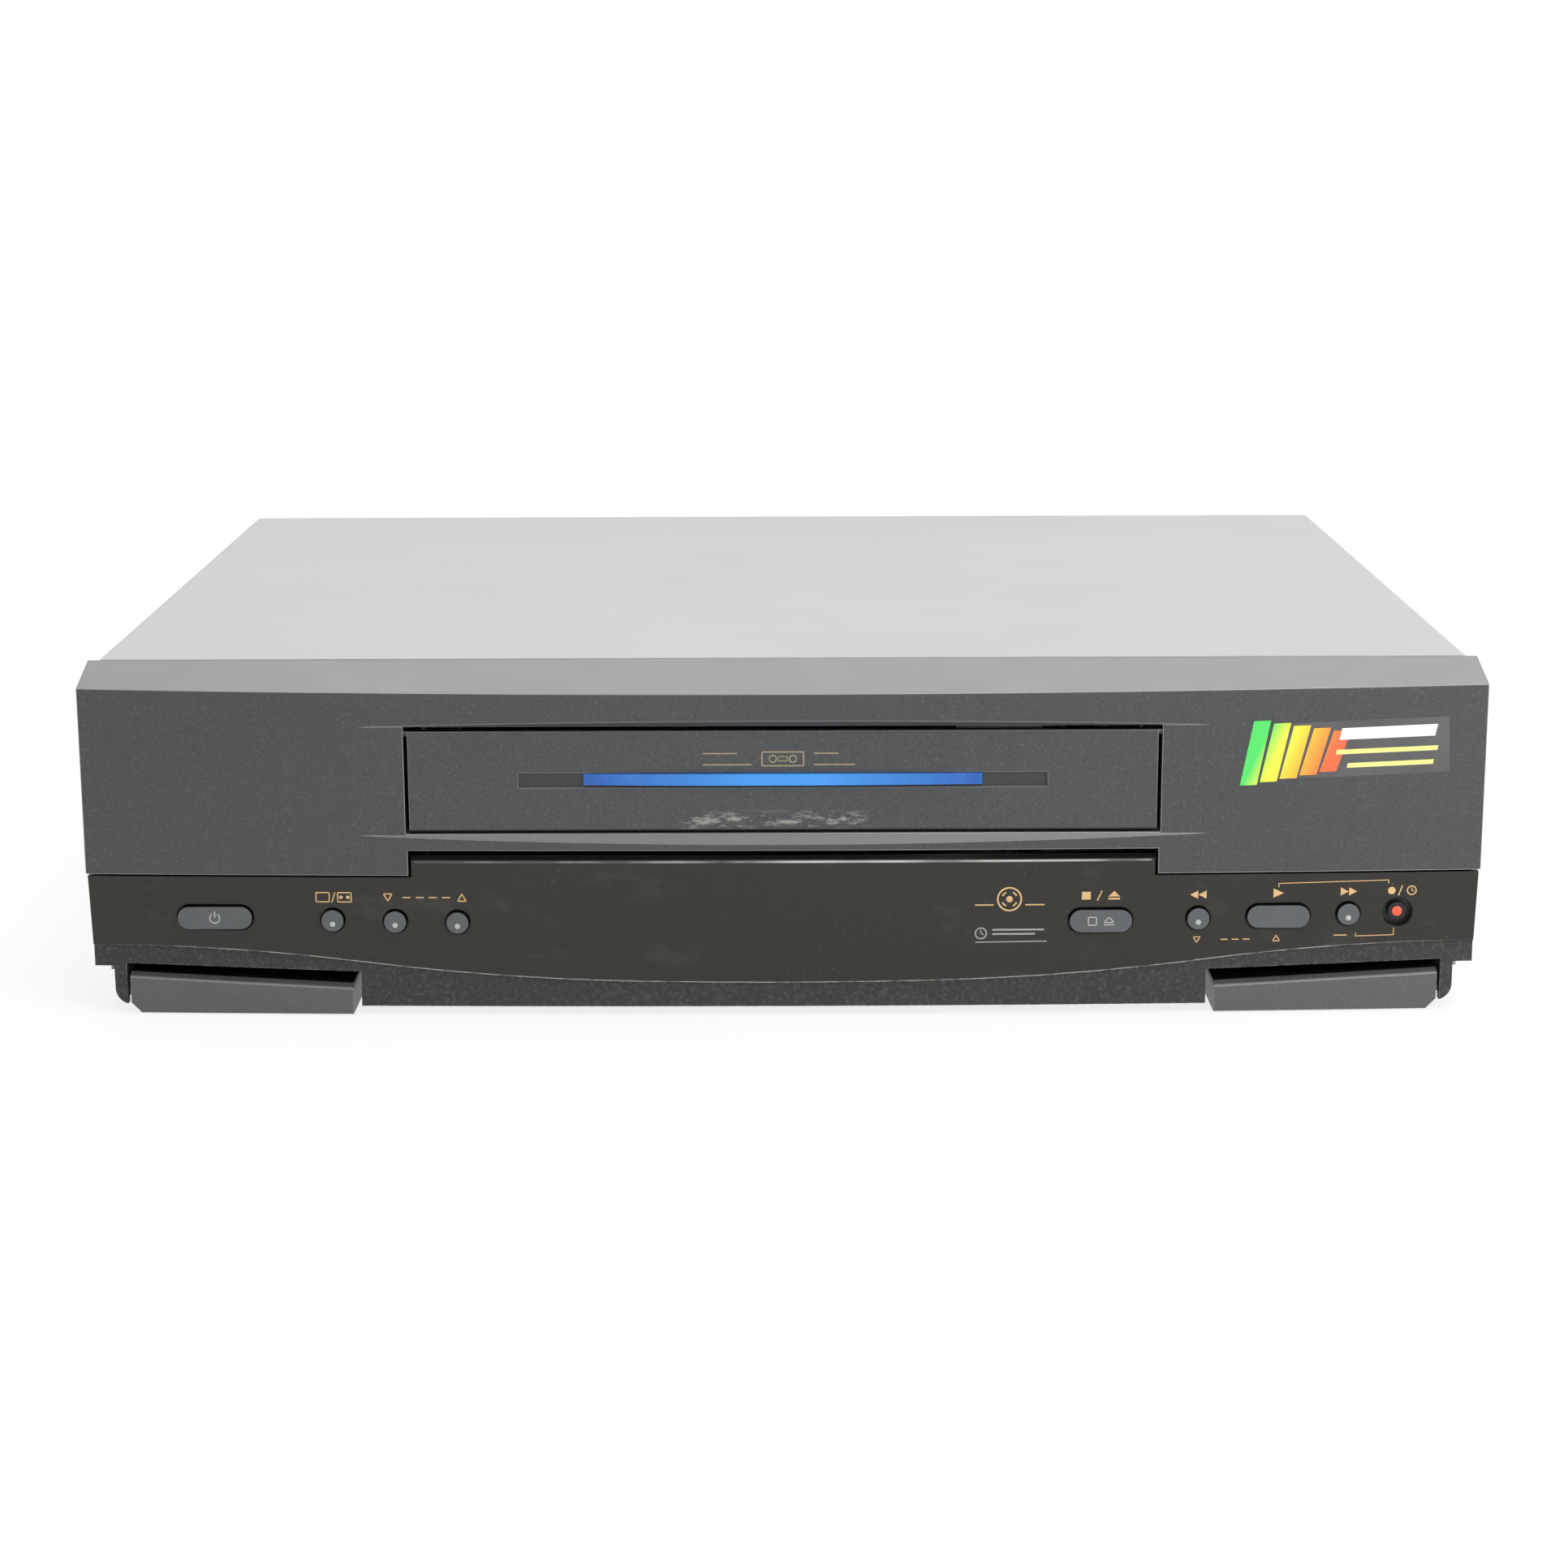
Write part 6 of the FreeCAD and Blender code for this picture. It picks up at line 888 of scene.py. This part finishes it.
# Profiles of radius and depth from the middle of the machine, written in millimetres
INSULATOR = np.array([(0.7, 142.1), (3.3, 142.1), (3.3, 145.6), (0.9, 146.0), (0.7, 146.0)]) * MM
COLLAR = np.array([(4.15, 141.0), (6.2, 141.0), (6.2, 142.4), (5.8, 142.8), (4.15, 142.8)]) * MM
CONTACT_FACE = np.array([
    (4.15, 147.5), (4.05, 147.7), (3.1, 147.7), (2.9, 147.55), (1.7, 147.55), (1.6, 147.7), (0.0, 147.7),
]) * MM
ANTENNA_Z = 28 * MM
THREAD_RADIUS = 4.72 * MM
for word, x in (("in", -165 * MM), ("out", -140 * MM)):
    centre = np.array((x, 0.0, ANTENNA_Z))
    places, faces = threaded_sleeve(THREAD_RADIUS, rear_face + 0.7 * MM, antenna_end - 0.3 * MM)
    socket_piece("antenna_thread_" + word, places + centre, faces, nickel, True)
    socket_piece("antenna_insulator_" + word, *turned(INSULATOR, 28, centre), insulator, False)

yellow_collar = plain_plastic("yellow_collar", linear(226, 190, 40), 0.35)
white_collar = plain_plastic("white_collar", linear(222, 220, 214), 0.35)
for signal, z, collar in (("video", 40 * MM, yellow_collar), ("audio", 24 * MM, white_collar)):
    for word, x in (("in", -104 * MM), ("out", -88 * MM)):
        name = "%s_%s" % (signal, word)
        socket_piece(name + "_collar", *turned(COLLAR, 36, (x, 0.0, z)), collar, False)
        socket_piece(name + "_face", *turned(CONTACT_FACE, 36, (x, 0.0, z)), nickel, True)


# Studio: pale floor, even light from all round and soft lamps
FLOOR_HALF = 20.0
FLOOR_WHITE = 0.82
FLOOR_FADE = (0.3, 1.0)
WORLD_LIGHT = 0.62


def seen_directly(tree):
    """1 for the rays of the camera, of gloss and of glass, which see a white studio, and else 0."""
    path = tree.nodes.new("ShaderNodeLightPath")
    total = path.outputs["Is Camera Ray"]
    for name in ("Is Glossy Ray", "Is Transmission Ray"):
        larger = tree.nodes.new("ShaderNodeMath")
        larger.operation = "MAXIMUM"
        tree.links.new(total, larger.inputs[0])
        tree.links.new(path.outputs[name], larger.inputs[1])
        total = larger.outputs["Value"]
    return total


def floor_finish():
    """Pale grey that lights as it is and looks white, by a share that grows with distance."""
    finish = Finish("studio_floor", (0.9, 0.9, 0.9, 1.0), 0.8, ior=1.5)
    distance = finish.tree.nodes.new("ShaderNodeVectorMath")
    distance.operation = "LENGTH"
    finish.feed(distance.inputs[0], finish.place)
    white_share = finish.spread(distance.outputs["Value"], *FLOOR_FADE, FLOOR_WHITE, 1.0)
    white = finish.node("ShaderNodeEmission")
    mix = finish.node("ShaderNodeMixShader", Fac=finish.both(white_share, seen_directly(finish.tree)))
    finish.feed(mix.inputs[1], finish.shader.outputs["BSDF"])
    finish.feed(mix.inputs[2], white.outputs["Emission"])
    finish.feed(finish.tree.nodes["Material Output"].inputs["Surface"], mix.outputs["Shader"])
    return finish


floor_mesh = bpy.data.meshes.new("studio_floor")
floor_corners = np.array([(-1, -1, 0), (1, -1, 0), (1, 1, 0), (-1, 1, 0)], float) * FLOOR_HALF
floor_mesh.from_pydata(floor_corners.tolist(), [], [[0, 1, 2, 3]])
floor_mesh.materials.append(floor_finish().material)
floor = bpy.data.objects.new("studio_floor", floor_mesh)
bpy.context.scene.collection.objects.link(floor)


def lamp(name, place, target, width, depth, power):
    """A rectangular lamp that looks at a point."""
    light = bpy.data.lights.new(name, "AREA")
    light.shape = "RECTANGLE"
    light.size = width
    light.size_y = depth
    light.energy = power
    holder = bpy.data.objects.new(name, light)
    holder.location = place
    holder.rotation_euler = (Vector(target) - Vector(place)).to_track_quat("-Z", "Y").to_euler()
    bpy.context.scene.collection.objects.link(holder)


lamp("lamp_above", (0.25, -0.3, 1.4), (0, -0.1, 0.05), 1.6, 1.0, 12)
lamp("lamp_behind", (0.3, 1.1, 1.6), (0, 0, 0.05), 2.4, 1.0, 13)
lamp("lamp_right", (0.5, -0.65, 0.4), (0.12, -0.15, 0.06), 0.35, 0.35, 2.8)

world = bpy.data.worlds.new("studio")
bpy.context.scene.world = world
world.use_nodes = True
world_tree = world.node_tree
background = world_tree.nodes["Background"]
background.inputs["Color"].default_value = (1, 1, 1, 1)
strength = world_tree.nodes.new("ShaderNodeMapRange")
strength.inputs["To Min"].default_value = WORLD_LIGHT
world_tree.links.new(seen_directly(world_tree), strength.inputs["Value"])
world_tree.links.new(strength.outputs["Result"], background.inputs["Strength"])

# Camera at the photograph's viewing angle
PHOTO_SIDE = 1932
FOCAL_PIXELS = 3885
SENSOR = 36.0
CAMERA_PLACE = (0.3 * MM, -977.3 * MM, 256.3 * MM)
CAMERA_TILT = math.radians(90 - 13)
CAMERA_ROLL = math.radians(-0.19)
camera_data = bpy.data.cameras.new("camera")
camera_data.sensor_fit = "HORIZONTAL"
camera_data.sensor_width = SENSOR
camera_data.lens = SENSOR * FOCAL_PIXELS / PHOTO_SIDE
camera_data.clip_start = 0.01
camera = bpy.data.objects.new("camera", camera_data)
camera.matrix_world = (
    Matrix.Translation(CAMERA_PLACE)
    @ Matrix.Rotation(CAMERA_TILT, 4, "X") @ Matrix.Rotation(CAMERA_ROLL, 4, "Z")
)
bpy.context.scene.collection.objects.link(camera)
bpy.context.scene.camera = camera

bpy.context.scene.view_settings.view_transform = "Standard"
